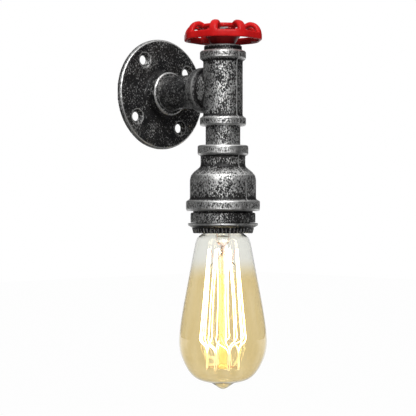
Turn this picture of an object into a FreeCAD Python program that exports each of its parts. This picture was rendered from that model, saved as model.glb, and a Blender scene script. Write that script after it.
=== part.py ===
import FreeCAD, Part
import math
import os
import Sketcher

# Industrial pipe wall light: a floor flange, an arm and a tee carry a bell reducer
# with a lampholder and a pear-shaped lamp, and a valve wheel turns on top.
# Millimetres. The origin is the centre of the flange's back face, +Y points into
# the wall, +Z is up, and the lamp hangs on the drop axis in front of the wall.

sizes = {
    # floor flange
    "flange_diameter": 87.0,
    "flange_plate": 4.0,
    "flange_bevel": 1.2,
    "flange_hub_diameter": 34.0,
    "flange_hub_reach": 14.0,
    "flange_hub_round": 3.0,
    "screw_circle": 64.0,
    "screw_hole": 7.0,
    "screw_sink": 11.5,
    "screw_count": 4,
    "screw_turn": 35.3,
    # pipe
    "pipe_diameter": 26.2,
    "pipe_wall": 2.9,
    "pipe_bevel": 0.8,
    "thread_depth": 11.0,
    "thread_gap": 0.05,
    "arm_reach": 73.0,
    # tee
    "tee_height": 56.4,
    "tee_body_diameter": 29.9,
    "tee_band_diameter": 34.8,
    "tee_band_height": 6.7,
    "tee_branch_reach": 24.0,
    "tee_branch_diameter": 29.4,
    "tee_cavity": 24.0,
    "band_bevel": 0.9,
    "seam_width": 0.7,
    "seam_height": 0.35,
    # pipe below the tee
    "drop_gap": 14.65,
    # bell reducer
    "reducer_band_diameter": 38.4,
    "reducer_band_height": 7.6,
    "reducer_neck_diameter": 33.8,
    "reducer_neck_height": 8.4,
    "reducer_shoulder_height": 6.4,
    "reducer_shoulder_ease": 0.38,
    "reducer_body_diameter": 50.0,
    "reducer_body_height": 18.9,
    "reducer_skirt_diameter": 55.8,
    "reducer_skirt_height": 8.3,
    "reducer_mouth": 41.9,
    "reducer_mouth_depth": 12.5,
    "reducer_chamber": 37.0,
    "reducer_chamber_depth": 9.5,
    "reducer_passage": 24.0,
    # lampholder
    "holder_groove": 1.1,
    "holder_groove_diameter": 45.0,
    "holder_collar_diameter": 49.0,
    "holder_collar_height": 7.6,
    "holder_bevel": 1.2,
    "holder_skirt_diameter": 40.6,
    "holder_skirt_height": 7.0,
    "holder_bore": 37.6,
    "holder_thread": 10.0,
    "insulator_gap": 0.1,
    "insulator_flange": 2.4,
    "insulator_rise": 13.85,
    "insulator_top_diameter": 31.0,
    "insulator_skirt": 17.9,
    "insulator_well": 22.0,
    "insulator_floor": 6.5,
    "shell_bore": 26.6,
    "shell_wall": 0.4,
    "shell_seat_depth": 20.5,
    "contact_width": 5.0,
    "contact_sheet": 0.6,
    "terminal_spread": 7.5,
    "terminal_screw": 3.0,
    "terminal_head": 5.6,
    # shade ring
    "ring_gap": 0.4,
    "ring_diameter": 52.8,
    "ring_plate": 1.8,
    "ring_cone": 1.6,
    "ring_skirt_diameter": 46.0,
    "ring_mouth_diameter": 44.2,
    "ring_height": 7.8,
    "ring_rib_count": 48,
    "ring_rib": 1.2,
    "ring_rib_height": 0.5,
    # plug and spindle
    "plug_head_diameter": 28.6,
    "plug_head_height": 4.2,
    "plug_bevel": 0.7,
    "spindle_diameter": 8.0,
    "spindle_gap": 0.06,
    "spindle_end": 4.0,
    "spindle_groove": 1.4,
    "spindle_core": 6.4,
    "clip_sheet": 1.2,
    "clip_diameter": 14.0,
    "clip_gap": 0.1,
    "running_gap": 0.3,
    # valve wheel
    "wheel_diameter": 59.8,
    "wheel_lift": 3.55,
    "wheel_height": 13.6,
    "wheel_band": 5.0,
    "wheel_sheet": 1.5,
    "wheel_fingers": 8,
    "wheel_finger_foot": 6.6,
    "wheel_finger_tip": 4.8,
    "wheel_turn": 31.6,
    "wheel_corner": 14.0,
    "wheel_shoulder": 8.6,
    "wheel_hump": 1.8,
    "wheel_crest": 36.4,
    "wheel_dish": 31.6,
    "wheel_dish_rim": 3.0,
    "wheel_dish_foot": 24.0,
    "wheel_dish_depth": 8.1,
    "wheel_dish_round": 1.5,
    "wheel_spoke": 3.4,
    "wheel_hub_top": 23.4,
    "wheel_hub_foot": 17.0,
    "washer_diameter": 15.0,
    "washer_sheet": 0.8,
    "nut_width": 13.0,
    "nut_height": 3.2,
    "nut_bevel": 0.7,
    # leads
    "lead_diameter": 2.4,
    "lead_spread": 3.5,
    "lead_rise": 5.0,
    "lead_mouth": 6.0,
    "ferrule_diameter": 3.6,
    "ferrule_length": 8.0,
    # lamp cap
    "lamp_seat": 0.2,
    "cap_diameter": 26.2,
    "cap_sheet": 0.4,
    "cap_height": 21.0,
    "cap_cone": 20.0,
    "cap_cone_height": 2.0,
    "cap_glass_foot": 10.0,
    "cap_glass_height": 2.4,
    "cap_tip_diameter": 9.0,
    "cap_tip_height": 1.4,
    # lamp glass
    "glass_wall": 0.9,
    "glass_rings": 9,
    "glass_neck": 25.0,
    "glass_tuck": 2.4,
    "glass_neck_height": 1.8,
    "glass_collar": 37.4,
    "glass_collar_drop": 7.0,
    "glass_shoulder": 41.8,
    "glass_shoulder_drop": 12.0,
    "glass_flank": 46.4,
    "glass_flank_drop": 25.0,
    "glass_side": 56.0,
    "glass_side_drop": 50.0,
    "glass_swell": 62.4,
    "glass_swell_drop": 68.0,
    "glass_widest": 70.4,
    "glass_widest_rise": 16.0,
    "glass_belly": 59.2,
    "glass_belly_rise": 2.6,
    "glass_heel": 47.2,
    "glass_heel_fall": 7.0,
    "glass_round": 35.2,
    "glass_round_fall": 10.4,
    "glass_base": 19.4,
    "glass_base_fall": 11.9,
    "glass_tip_fall": 17.0,
    "glass_tip_round": 2.2,
    # lamp stem
    "stem_foot": 22.8,
    "stem_wall": 0.9,
    "stem_press": 6.4,
    "stem_press_drop": 11.0,
    "stem_press_height": 10.0,
    "stem_rod": 5.2,
    "stem_upper_drop": 38.5,
    "stem_upper_button": 7.4,
    "stem_button_height": 3.0,
    "stem_lower_drop": 106.5,
    "stem_lower_button": 8.0,
    "lamp_lead": 0.9,
    "lamp_lead_spread": 4.2,
    # cage
    "cage_hooks": 8,
    "cage_turn": 23.0,
    "cage_top": 10.6,
    "cage_top_drop": 15.5,
    "cage_waist": 14.6,
    "cage_bulge": 17.0,
    "cage_bulge_drop": 87.0,
    "cage_foot": 12.6,
    "cage_foot_run": 8.8,
    "cage_end_fall": 0.8,
    "cage_loop": 1.05,
    "filament": 0.5,
    "support": 0.44,
}

doc = FreeCAD.newDocument("PipeWallLight")
sheet = doc.addObject("Spreadsheet::Sheet", "Sizes")
for row, (alias, value) in enumerate(sizes.items(), start=1):
    sheet.set("A%d" % row, alias)
    sheet.set("B%d" % row, str(value))
    sheet.setAlias("B%d" % row, alias)
doc.recompute()

# Heights on the drop axis, written once and used by every piece that meets there.
tee_top = "Sizes.tee_height / 2"
tee_foot = "-Sizes.tee_height / 2"
reducer_top = "(%s - Sizes.drop_gap)" % tee_foot
shoulder_top = "(%s - Sizes.reducer_band_height - Sizes.reducer_neck_height)" % reducer_top
shoulder_foot = "(%s - Sizes.reducer_shoulder_height)" % shoulder_top
skirt_top = "(%s - Sizes.reducer_body_height)" % shoulder_foot
reducer_foot = "(%s - Sizes.reducer_skirt_height)" % skirt_top
collar_top = "(%s - Sizes.holder_groove)" % reducer_foot
collar_foot = "(%s - Sizes.holder_collar_height)" % collar_top
ring_top = "(%s - Sizes.ring_gap)" % collar_foot
ring_foot = "(%s - Sizes.ring_height)" % ring_top
holder_top = "(%s + Sizes.holder_thread)" % reducer_foot
flange_seat = "(%s + Sizes.insulator_flange)" % holder_top
insulator_top = "(%s + Sizes.insulator_rise)" % holder_top
insulator_foot = "(%s - Sizes.insulator_skirt)" % holder_top
well_top = "(%s - Sizes.insulator_floor)" % insulator_top
shell_top = "(%s + Sizes.shell_seat_depth)" % insulator_foot
lamp_tip = "(%s - Sizes.contact_sheet * 2 - Sizes.lamp_seat)" % well_top
tip_foot = "(%s - Sizes.cap_tip_height)" % lamp_tip
glass_ring_foot = "(%s - Sizes.cap_glass_height)" % tip_foot
cap_top = "(%s - Sizes.cap_cone_height)" % glass_ring_foot
cap_foot = "(%s - Sizes.cap_height)" % cap_top
plug_top = "(%s + Sizes.plug_head_height)" % tee_top
plug_foot = "(%s - Sizes.thread_depth)" % tee_top
wheel_foot = "(%s + Sizes.wheel_lift)" % plug_top
hub_foot = "(%s + Sizes.running_gap)" % plug_top
web_top = "(%s + Sizes.wheel_height - Sizes.wheel_dish_depth)" % wheel_foot
washer_top = "(%s + Sizes.washer_sheet)" % web_top
nut_top = "(%s + Sizes.nut_height)" % washer_top
clip_top = "(%s - Sizes.running_gap)" % plug_foot

# Radii that fits share.
pipe_radius = "Sizes.pipe_diameter / 2"
pipe_bore = "(Sizes.pipe_diameter / 2 - Sizes.pipe_wall)"
socket_radius = "(Sizes.pipe_diameter / 2 + Sizes.thread_gap)"
spindle_radius = "Sizes.spindle_diameter / 2"
spindle_bore = "(Sizes.spindle_diameter / 2 + Sizes.spindle_gap)"


def value(expression):
    """Number that an expression on the sheet gives now."""
    result = sheet.evalExpression(str(expression))
    return float(getattr(result, "Value", result))


def drop(distance):
    """Height that lies a distance below the lamp cap's lower edge."""
    return "(%s - (Sizes.%s))" % (cap_foot, distance)


cage_end = drop("stem_lower_drop + Sizes.cage_end_fall")


def stand(piece, turn="0"):
    """Put a piece on the drop axis, turned about it."""
    piece.setExpression("Placement.Base.y", "-Sizes.arm_reach")
    piece.Placement.Rotation = FreeCAD.Rotation(FreeCAD.Vector(0, 0, 1), value(turn))


def lay(piece, turn="0"):
    """Put a piece on the arm's axis, its own height running out from the wall."""
    spin = FreeCAD.Rotation(FreeCAD.Vector(0, 0, 1), value(turn))
    piece.Placement.Rotation = FreeCAD.Rotation(FreeCAD.Vector(1, 0, 0), 90).multiply(spin)


def new_body(label):
    body = doc.addObject("PartDesign::Body", label)
    body.Label = label
    return body


def plane(body, role):
    return next(item for item in body.Origin.OriginFeatures if item.Role == role)


def new_sketch(body, name, role, height=None):
    """Sketch on one of the body's own planes, lifted by a height."""
    sketch = body.newObject("Sketcher::SketchObject", name)
    sketch.AttachmentSupport = (plane(body, role), "")
    sketch.MapMode = "FlatFace"
    if height:
        sketch.setExpression("AttachmentOffset.Base.z", height)
    return sketch


def pin_point(sketch, edge, end, across, up):
    """Tie one end of an edge to a place given by two expressions."""
    for kind, axis, place in (("DistanceX", -2, across), ("DistanceY", -1, up)):
        if abs(value(place)) < 1e-9:
            sketch.addConstraint(Sketcher.Constraint("PointOnObject", edge, end, axis))
            continue
        index = sketch.addConstraint(Sketcher.Constraint(kind, -1, 1, edge, end, value(place)))
        sketch.setExpression("Constraints[%d]" % index, place)


def polygon(sketch, corners):
    """Closed outline through corners, each a pair of expressions."""
    points = [FreeCAD.Vector(value(across), value(up), 0) for across, up in corners]
    first = sketch.GeometryCount
    count = len(points)
    for index, point in enumerate(points):
        sketch.addGeometry(Part.LineSegment(point, points[(index + 1) % count]), False)
    for index in range(count):
        following = first + (index + 1) % count
        sketch.addConstraint(Sketcher.Constraint("Coincident", first + index, 2, following, 1))
    for index, (across, up) in enumerate(corners):
        pin_point(sketch, first + index, 1, across, up)


def circle(sketch, across, up, radius):
    centre = FreeCAD.Vector(value(across), value(up), 0)
    normal = FreeCAD.Vector(0, 0, 1)
    edge = sketch.addGeometry(Part.Circle(centre, normal, value(radius)), False)
    pin_point(sketch, edge, 3, across, up)
    index = sketch.addConstraint(Sketcher.Constraint("Radius", edge, value(radius)))
    sketch.setExpression("Constraints[%d]" % index, radius)


def revolve(body, name, corners, kind="Revolution", role="XZ_Plane", axis="V_Axis"):
    """Turn a closed outline of (radius, height) corners, as material or as a cut."""
    sketch = new_sketch(body, name + "_outline", role)
    polygon(sketch, corners)
    feature = body.newObject("PartDesign::" + kind, name)
    feature.Profile = sketch
    feature.ReferenceAxis = (sketch, [axis])
    feature.Angle = 360.0
    doc.recompute()
    return feature


def pad(body, name, sketch, length, both_sides=False):
    feature = body.newObject("PartDesign::Pad", name)
    feature.Profile = sketch
    feature.setExpression("Length", length)
    feature.Midplane = both_sides
    doc.recompute()
    return feature


def through_pocket(body, name, sketch, upward, depth):
    """Cut a sketch to a depth past the piece, and make sure that it removed something."""
    before = body.Shape.Volume
    feature = body.newObject("PartDesign::Pocket", name)
    feature.Profile = sketch
    feature.setExpression("Length", depth)
    feature.Reversed = upward
    doc.recompute()
    if body.Shape.Volume > before - 1e-6:
        raise ValueError(name + " cuts nothing")
    return feature


def round_pattern(body, name, feature, count):
    pattern = body.newObject("PartDesign::PolarPattern", name)
    pattern.Originals = [feature]
    pattern.Axis = (plane(body, "Z_Axis"), "")
    pattern.Angle = 360.0
    pattern.setExpression("Occurrences", count)
    body.Tip = pattern
    doc.recompute()
    return pattern


def eased(before, corner, after, near, far):
    """Three corners that ease a sharp one, a share of each run beside it away."""
    def between(index):
        start = "((%s) - (%s)) * %s" % (before[index], corner[index], near)
        end = "((%s) - (%s)) * %s" % (after[index], corner[index], far)
        return start, end

    across_start, across_end = between(0)
    up_start, up_end = between(1)
    return [
        ("%s + %s" % (corner[0], across_start), "%s + %s" % (corner[1], up_start)),
        ("%s + (%s + %s) / 4" % (corner[0], across_start, across_end),
         "%s + (%s + %s) / 4" % (corner[1], up_start, up_end)),
        ("%s + %s" % (corner[0], across_end), "%s + %s" % (corner[1], up_end)),
    ]


def tube_corners(inner, outer, foot, top, bevel):
    """Outline of a tube whose outer ends are bevelled."""
    return [
        (inner, foot),
        ("%s - %s" % (outer, bevel), foot),
        (outer, "%s + %s" % (foot, bevel)),
        (outer, "%s - %s" % (top, bevel)),
        ("%s - %s" % (outer, bevel), top),
        (inner, top),
    ]


def run_of_arcs(points, share=0.45):
    """Path of straight runs joined by tangent arcs, as large as the share allows."""
    edges = []
    start = points[0]
    for index in range(1, len(points) - 1):
        corner = points[index]
        back = points[index - 1] - corner
        ahead = points[index + 1] - corner
        reach = share * min(back.Length, ahead.Length)
        back.normalize()
        ahead.normalize()
        half_turn = (math.pi - back.getAngle(ahead)) / 2
        entry = corner + back * reach
        leave = corner + ahead * reach
        bisector = (back + ahead).normalize()
        radius = reach / math.tan(half_turn)
        middle = corner + bisector * (radius / math.cos(half_turn) - radius)
        edges.append(Part.LineSegment(start, entry).toShape())
        edges.append(Part.Arc(entry, middle, leave).toShape())
        start = leave
    edges.append(Part.LineSegment(start, points[-1]).toShape())
    return Part.Wire(edges)


def wire_tube(path, section, mitred):
    """Wire of one section along a path, checked against its area times its length."""
    tube = path.makePipeShell([section], True, False, 1 if mitred else 0)
    expected = Part.Face(section).Area * path.Length
    if abs(tube.Volume - expected) > 0.03 * expected:
        raise ValueError("a wire's volume is off: %.3f for %.3f" % (tube.Volume, expected))
    return tube


def round_wire(path, radius):
    """Round wire along a smooth path."""
    first = path.OrderedEdges[0]
    start = first.valueAt(first.FirstParameter)
    ahead = first.tangentAt(first.FirstParameter)
    return wire_tube(path, Part.Wire([Part.makeCircle(radius, start, ahead)]), False)


def fine_wire(points, radius):
    """Six-sided wire mitred at each of its points, for the lamp's inner wires."""
    sides = 6
    ahead = (points[1] - points[0]).normalize()
    across = ahead.cross(FreeCAD.Vector(ahead.y, ahead.z, ahead.x)).normalize()
    spin = FreeCAD.Rotation(ahead, 360.0 / sides)
    corners = []
    for index in range(sides):
        corners.append(points[0] + across * radius)
        across = spin.multVec(across)
    section = Part.makePolygon(corners + corners[:1])
    return wire_tube(Part.makePolygon(points), section, True)


def keep_shape(label, shape):
    """Node whose shape is worked out here; it stands on the drop axis."""
    piece = doc.addObject("Part::Feature", label)
    piece.Label = label
    piece.Shape = shape
    stand(piece)
    doc.recompute()
    return piece


def make_wall_flange():
    body = new_body("wall_flange")
    rim = "Sizes.flange_diameter / 2"
    hub = "Sizes.flange_hub_diameter / 2"
    revolve(body, "flange_turned", [
        (socket_radius, "0"),
        (rim, "0"),
        (rim, "Sizes.flange_plate - Sizes.flange_bevel"),
        (rim + " - Sizes.flange_bevel", "Sizes.flange_plate"),
        (hub + " + Sizes.flange_hub_round", "Sizes.flange_plate"),
        (hub + " + Sizes.flange_hub_round / 4", "Sizes.flange_plate + Sizes.flange_hub_round / 4"),
        (hub, "Sizes.flange_plate + Sizes.flange_hub_round"),
        (hub, "Sizes.flange_hub_reach - Sizes.band_bevel"),
        (hub + " - Sizes.band_bevel", "Sizes.flange_hub_reach"),
        (socket_radius, "Sizes.flange_hub_reach"),
    ])
    sketch = new_sketch(body, "screw_place", "XY_Plane", "Sizes.flange_plate")
    circle(sketch, "Sizes.screw_circle / 2", "0", "Sizes.screw_hole / 2")
    doc.recompute()
    hole = body.newObject("PartDesign::Hole", "screw_hole")
    hole.Profile = sketch
    hole.DepthType = "ThroughAll"
    hole.Threaded = False
    hole.setExpression("Diameter", "Sizes.screw_hole")
    hole.HoleCutType = "Countersink"
    hole.setExpression("HoleCutDiameter", "Sizes.screw_sink")
    hole.HoleCutCountersinkAngle = 90.0
    doc.recompute()
    round_pattern(body, "screw_holes", hole, "Sizes.screw_count")
    lay(body, "Sizes.screw_turn")
    return body


def make_arm_nipple():
    body = new_body("arm_nipple")
    foot = "(Sizes.flange_hub_reach - Sizes.thread_depth)"
    top = "(Sizes.arm_reach - Sizes.tee_branch_reach + Sizes.thread_depth)"
    corners = tube_corners(pipe_bore, pipe_radius, foot, top, "Sizes.pipe_bevel")
    revolve(body, "arm_tube", corners)
    lay(body)
    return body


def banded_end(band, body_radius, foot, top, band_foot):
    """Corners of a bevelled band between two heights, body side last."""
    return [
        ("%s - Sizes.band_bevel" % band, top),
        (band, "%s - Sizes.band_bevel" % top),
        (band, "%s + Sizes.band_bevel" % band_foot),
        (body_radius, "%s - Sizes.band_bevel" % band_foot),
        (body_radius, foot),
    ]


def make_tee():
    body = new_body("tee")
    band = "Sizes.tee_band_diameter / 2"
    run = "Sizes.tee_body_diameter / 2"
    branch = "Sizes.tee_branch_diameter / 2"
    band_foot = "(Sizes.tee_height / 2 - Sizes.tee_band_height)"
    upper = banded_end(band, run, "0", tee_top, band_foot)[:-1]
    lower = [(across, "-(%s)" % up) for across, up in reversed(upper)]
    revolve(body, "tee_run", [("0", tee_top)] + upper + lower + [("0", tee_foot)])
    reach = "Sizes.tee_branch_reach"
    branch_foot = "(%s - Sizes.tee_band_height - Sizes.band_bevel)" % reach
    side = banded_end(band, branch, "0", reach, branch_foot)
    outline = [(up, across) for across, up in [("0", reach)] + side + [("0", "0")]]
    revolve(body, "tee_branch", outline, role="YZ_Plane", axis="H_Axis")
    # Moulding seam round the fitting, in the plane of the arm.
    lip = "Sizes.seam_height"
    seam = new_sketch(body, "seam_outline", "YZ_Plane")
    edge_band = "(%s + %s)" % (band, lip)
    edge_run = "(%s + %s)" % (run, lip)
    shy = "Sizes.band_bevel"
    polygon(seam, [
        ("-" + edge_band, "%s - %s" % (tee_top, shy)),
        ("-" + edge_band, "%s + %s" % (band_foot, shy)),
        ("-" + edge_run, "%s - %s" % (band_foot, shy)),
        ("-" + edge_run, "-%s + %s" % (band_foot, shy)),
        ("-" + edge_band, "-%s - %s" % (band_foot, shy)),
        ("-" + edge_band, "%s + %s" % (tee_foot, shy)),
        ("0", "%s + %s" % (tee_foot, shy)),
        ("0", "%s - %s" % (tee_top, shy)),
    ])
    pad(body, "seam", seam, "Sizes.seam_width", both_sides=True)
    # Threaded sockets at the three ends, and the cored middle between them.
    socket_top = "%s - Sizes.thread_depth" % tee_top
    socket_foot = "%s + Sizes.thread_depth" % tee_foot
    core = "Sizes.tee_cavity / 2"
    revolve(body, "tee_bore", [
        ("0", tee_top),
        (socket_radius, tee_top),
        (socket_radius, socket_top),
        (core, socket_top),
        (core, socket_foot),
        (socket_radius, socket_foot),
        (socket_radius, tee_foot),
        ("0", tee_foot),
    ], kind="Groove")
    revolve(body, "tee_branch_bore", [
        ("0", "0"),
        (reach, "0"),
        (reach, socket_radius),
        (reach + " - Sizes.thread_depth", socket_radius),
        (reach + " - Sizes.thread_depth", core),
        ("0", core),
    ], kind="Groove", role="YZ_Plane", axis="H_Axis")
    stand(body)
    return body


def make_drop_nipple():
    body = new_body("drop_nipple")
    foot = "(%s - Sizes.thread_depth)" % reducer_top
    top = "(%s + Sizes.thread_depth)" % tee_foot
    corners = tube_corners(pipe_bore, pipe_radius, foot, top, "Sizes.pipe_bevel")
    revolve(body, "drop_tube", corners)
    stand(body)
    return body


def make_reducer():
    body = new_body("reducer")
    band = "Sizes.reducer_band_diameter / 2"
    neck = "Sizes.reducer_neck_diameter / 2"
    bell = "Sizes.reducer_body_diameter / 2"
    skirt = "Sizes.reducer_skirt_diameter / 2"
    bevel = "Sizes.band_bevel"
    band_foot = "(%s - Sizes.reducer_band_height)" % reducer_top
    neck_corner = (neck, shoulder_top)
    bell_corner = (bell, shoulder_foot)
    ease = "Sizes.reducer_shoulder_ease"
    neck_turn = eased((neck, band_foot), neck_corner, bell_corner, ease + " / 2", ease + " / 3")
    shoulder_turn = eased(neck_corner, bell_corner, (bell, skirt_top), ease, ease + " / 2")
    revolve(body, "reducer_turned", [
        ("0", reducer_top),
        ("%s - %s" % (band, bevel), reducer_top),
        (band, "%s - %s" % (reducer_top, bevel)),
        (band, "%s + %s" % (band_foot, bevel)),
        ("%s - %s" % (band, bevel), band_foot),
        (neck, band_foot),
    ] + neck_turn + shoulder_turn + [
        (bell, "%s + %s" % (skirt_top, bevel)),
        (skirt, "%s - %s" % (skirt_top, bevel)),
        (skirt, "%s + %s" % (reducer_foot, bevel)),
        ("%s - %s" % (skirt, bevel), reducer_foot),
        ("0", reducer_foot),
    ])
    # The moulding seam shows as a thin rib down the front and the back.
    lip = "Sizes.seam_height"
    seam = new_sketch(body, "seam_outline", "YZ_Plane")
    seam_top = "%s - 4 * %s" % (shoulder_foot, bevel)
    seam_foot = "%s + 2 * %s" % (skirt_top, bevel)
    polygon(seam, [
        ("-(%s + %s)" % (bell, lip), seam_foot),
        ("%s + %s" % (bell, lip), seam_foot),
        ("%s + %s" % (bell, lip), seam_top),
        ("-(%s + %s)" % (bell, lip), seam_top),
    ])
    pad(body, "seam", seam, "Sizes.seam_width", both_sides=True)
    mouth = "Sizes.reducer_mouth / 2"
    chamber = "Sizes.reducer_chamber / 2"
    passage = "Sizes.reducer_passage / 2"
    ledge = "(%s + Sizes.reducer_mouth_depth)" % reducer_foot
    vault = "(%s + Sizes.reducer_chamber_depth)" % ledge
    throat = "(%s + (%s - %s))" % (vault, chamber, passage)
    socket_foot = "%s - Sizes.thread_depth" % reducer_top
    revolve(body, "reducer_bore", [
        ("0", reducer_top),
        (socket_radius, reducer_top),
        (socket_radius, socket_foot),
        (passage, socket_foot),
        (passage, throat),
        (chamber, vault),
        (chamber, ledge),
        (mouth, ledge),
        (mouth, reducer_foot),
        ("0", reducer_foot),
    ], kind="Groove")
    stand(body)
    return body


def make_lampholder_shell():
    body = new_body("lampholder_shell")
    bore = "Sizes.holder_bore / 2"
    thread = "(Sizes.reducer_mouth / 2 - Sizes.thread_gap)"
    groove = "Sizes.holder_groove_diameter / 2"
    collar = "Sizes.holder_collar_diameter / 2"
    skirt = "Sizes.holder_skirt_diameter / 2"
    skirt_foot = "(%s - Sizes.holder_skirt_height)" % collar_foot
    revolve(body, "holder_turned", [
        (bore, holder_top),
        (thread, holder_top),
        (thread, reducer_foot),
        (groove, reducer_foot),
        (groove, collar_top),
        (collar + " - Sizes.holder_bevel", collar_top),
        (collar, collar_top + " - Sizes.holder_bevel"),
        (collar, collar_foot),
        (skirt, collar_foot),
        (skirt, skirt_foot),
        (bore, skirt_foot),
    ])
    stand(body)
    return body


def make_lampholder_insulator():
    body = new_body("lampholder_insulator")
    outer = "(Sizes.holder_bore / 2 - Sizes.insulator_gap)"
    seat = "(Sizes.reducer_mouth / 2 - Sizes.insulator_gap)"
    crown = "Sizes.insulator_top_diameter / 2"
    recess = "(Sizes.shell_bore / 2 + Sizes.shell_wall + Sizes.thread_gap)"
    well = "Sizes.insulator_well / 2"
    revolve(body, "insulator_turned", [
        ("0", insulator_top),
        (crown, insulator_top),
        (crown, flange_seat),
        (seat, flange_seat),
        (seat, holder_top),
        (outer, holder_top),
        (outer, insulator_foot),
        (recess, insulator_foot),
        (recess, shell_top),
        (well, shell_top),
        (well, well_top),
        ("0", well_top),
    ])
    # One hole lets the contact's rivet through the floor, one the shell's tab.
    sketch = new_sketch(body, "rivet_places", "XY_Plane", insulator_top)
    rivet = "(Sizes.contact_width / 4 + Sizes.insulator_gap)"
    circle(sketch, "Sizes.terminal_spread", "0", rivet)
    circle(sketch, "-Sizes.terminal_spread", "0", rivet)
    through_pocket(body, "rivet_holes", sketch, False, "2 * Sizes.insulator_floor")
    stand(body)
    return body


def make_screw_shell():
    body = new_body("screw_shell")
    inner = "Sizes.shell_bore / 2"
    outer = "(Sizes.shell_bore / 2 + Sizes.shell_wall)"
    well = "Sizes.insulator_well / 2"
    revolve(body, "shell_turned", [
        (inner, insulator_foot),
        (outer, insulator_foot),
        (outer, shell_top),
        (well, shell_top),
        (well, shell_top + " - Sizes.shell_wall"),
        (inner, shell_top + " - Sizes.shell_wall"),
    ])
    stand(body)
    return body


def rivet_and_tab(body, side, foot):
    """Rivet through the insulator's floor, and the tab that it clamps on top."""
    place = "%sSizes.terminal_spread" % side
    rivet = new_sketch(body, "rivet_outline", "XY_Plane", foot)
    circle(rivet, place, "0", "Sizes.contact_width / 4")
    pad(body, "rivet", rivet, "%s - %s" % (insulator_top, foot))
    tab = new_sketch(body, "tab_outline", "XY_Plane", insulator_top)
    half = "Sizes.contact_width / 2"
    reach = "Sizes.terminal_head"
    polygon(tab, [
        ("%s - %s" % (place, half), "-" + reach),
        ("%s + %s" % (place, half), "-" + reach),
        ("%s + %s" % (place, half), reach),
        ("%s - %s" % (place, half), reach),
    ])
    pad(body, "tab", tab, "Sizes.contact_sheet")


def make_centre_contact():
    body = new_body("centre_contact")
    half = "Sizes.contact_width / 2"
    sheet_height = "Sizes.contact_sheet"
    strip = new_sketch(body, "strip_outline", "XY_Plane", "%s - %s" % (well_top, sheet_height))
    polygon(strip, [
        ("-" + half, "-" + half),
        ("Sizes.terminal_spread + Sizes.contact_width / 4", "-" + half),
        ("Sizes.terminal_spread + Sizes.contact_width / 4", half),
        ("-" + half, half),
    ])
    pad(body, "strip", strip, sheet_height)
    button = new_sketch(body, "button_outline", "XY_Plane", "%s - 2 * %s" % (well_top, sheet_height))
    circle(button, "0", "0", half)
    pad(body, "button", button, sheet_height)
    rivet_and_tab(body, "", well_top)
    stand(body)
    return body


def make_shell_terminal():
    body = new_body("shell_terminal")
    rivet_and_tab(body, "-", well_top)
    stand(body)
    return body


def make_terminal_screws():
    """Two cheese-head screws on the tabs, kept as one node of two solids."""
    head = value("Sizes.terminal_head / 2")
    tab_top = value(insulator_top) + value("Sizes.contact_sheet")
    height = value("Sizes.terminal_screw")
    slot = value("Sizes.contact_sheet")
    offset = value("Sizes.terminal_head") * 0.45
    screws = []
    for side in (-1, 1):
        place = FreeCAD.Vector(side * value("Sizes.terminal_spread"), offset, tab_top)
        screw = Part.makeCylinder(head, height * 0.7, place)
        corner = place + FreeCAD.Vector(-head, -slot / 2, height * 0.7 - slot)
        screw = screw.cut(Part.makeBox(2 * head, slot, 2 * slot, corner))
        screws.append(screw)
    return keep_shape("terminal_screws", Part.makeCompound(screws))


def make_shade_ring():
    body = new_body("shade_ring")
    bore = "(Sizes.holder_skirt_diameter / 2 + Sizes.thread_gap)"
    rim = "Sizes.ring_diameter / 2"
    skirt = "Sizes.ring_skirt_diameter / 2"
    mouth = "Sizes.ring_mouth_diameter / 2"
    plate_foot = "(%s - Sizes.ring_plate)" % ring_top
    cone_foot = "(%s - Sizes.ring_cone)" % plate_foot
    revolve(body, "ring_turned", [
        (bore, ring_top),
        (rim, ring_top),
        (rim, plate_foot),
        (skirt, cone_foot),
        (mouth, ring_foot),
        (bore, ring_foot),
    ])
    # Grip ribs down the tapered skirt.
    rib = new_sketch(body, "rib_outline", "XZ_Plane")
    sunk = "Sizes.ring_rib_height"
    polygon(rib, [
        ("%s - %s" % (skirt, sunk), cone_foot + " + " + sunk),
        ("%s + %s" % (skirt, sunk), cone_foot + " + " + sunk),
        ("%s + %s" % (mouth, sunk), ring_foot + " + " + sunk),
        ("%s - %s" % (mouth, sunk), ring_foot + " + " + sunk),
    ])
    first = pad(body, "rib", rib, "Sizes.ring_rib", both_sides=True)
    round_pattern(body, "ribs", first, "Sizes.ring_rib_count")
    stand(body)
    return body


def make_top_plug():
    body = new_body("top_plug")
    head = "Sizes.plug_head_diameter / 2"
    revolve(body, "plug_turned", [
        (spindle_bore, plug_foot),
        (pipe_radius, plug_foot),
        (pipe_radius, tee_top),
        (head, tee_top),
        (head, plug_top + " - Sizes.plug_bevel"),
        (head + " - Sizes.plug_bevel", plug_top),
        (spindle_bore, plug_top),
    ])
    stand(body)
    return body


def make_valve_stem():
    body = new_body("valve_stem")
    core = "Sizes.spindle_core / 2"
    bevel = "Sizes.nut_bevel"
    groove_foot = "(%s - Sizes.spindle_groove)" % clip_top
    end = "(%s - Sizes.spindle_end)" % groove_foot
    top = "(%s + %s)" % (nut_top, bevel)
    revolve(body, "stem_turned", [
        ("0", end),
        (spindle_radius, end),
        (spindle_radius, groove_foot),
        (core, groove_foot),
        (core, clip_top),
        (spindle_radius, clip_top),
        (spindle_radius, top + " - " + bevel),
        (spindle_radius + " - " + bevel, top),
        ("0", top),
    ])
    stand(body)
    return body


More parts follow.
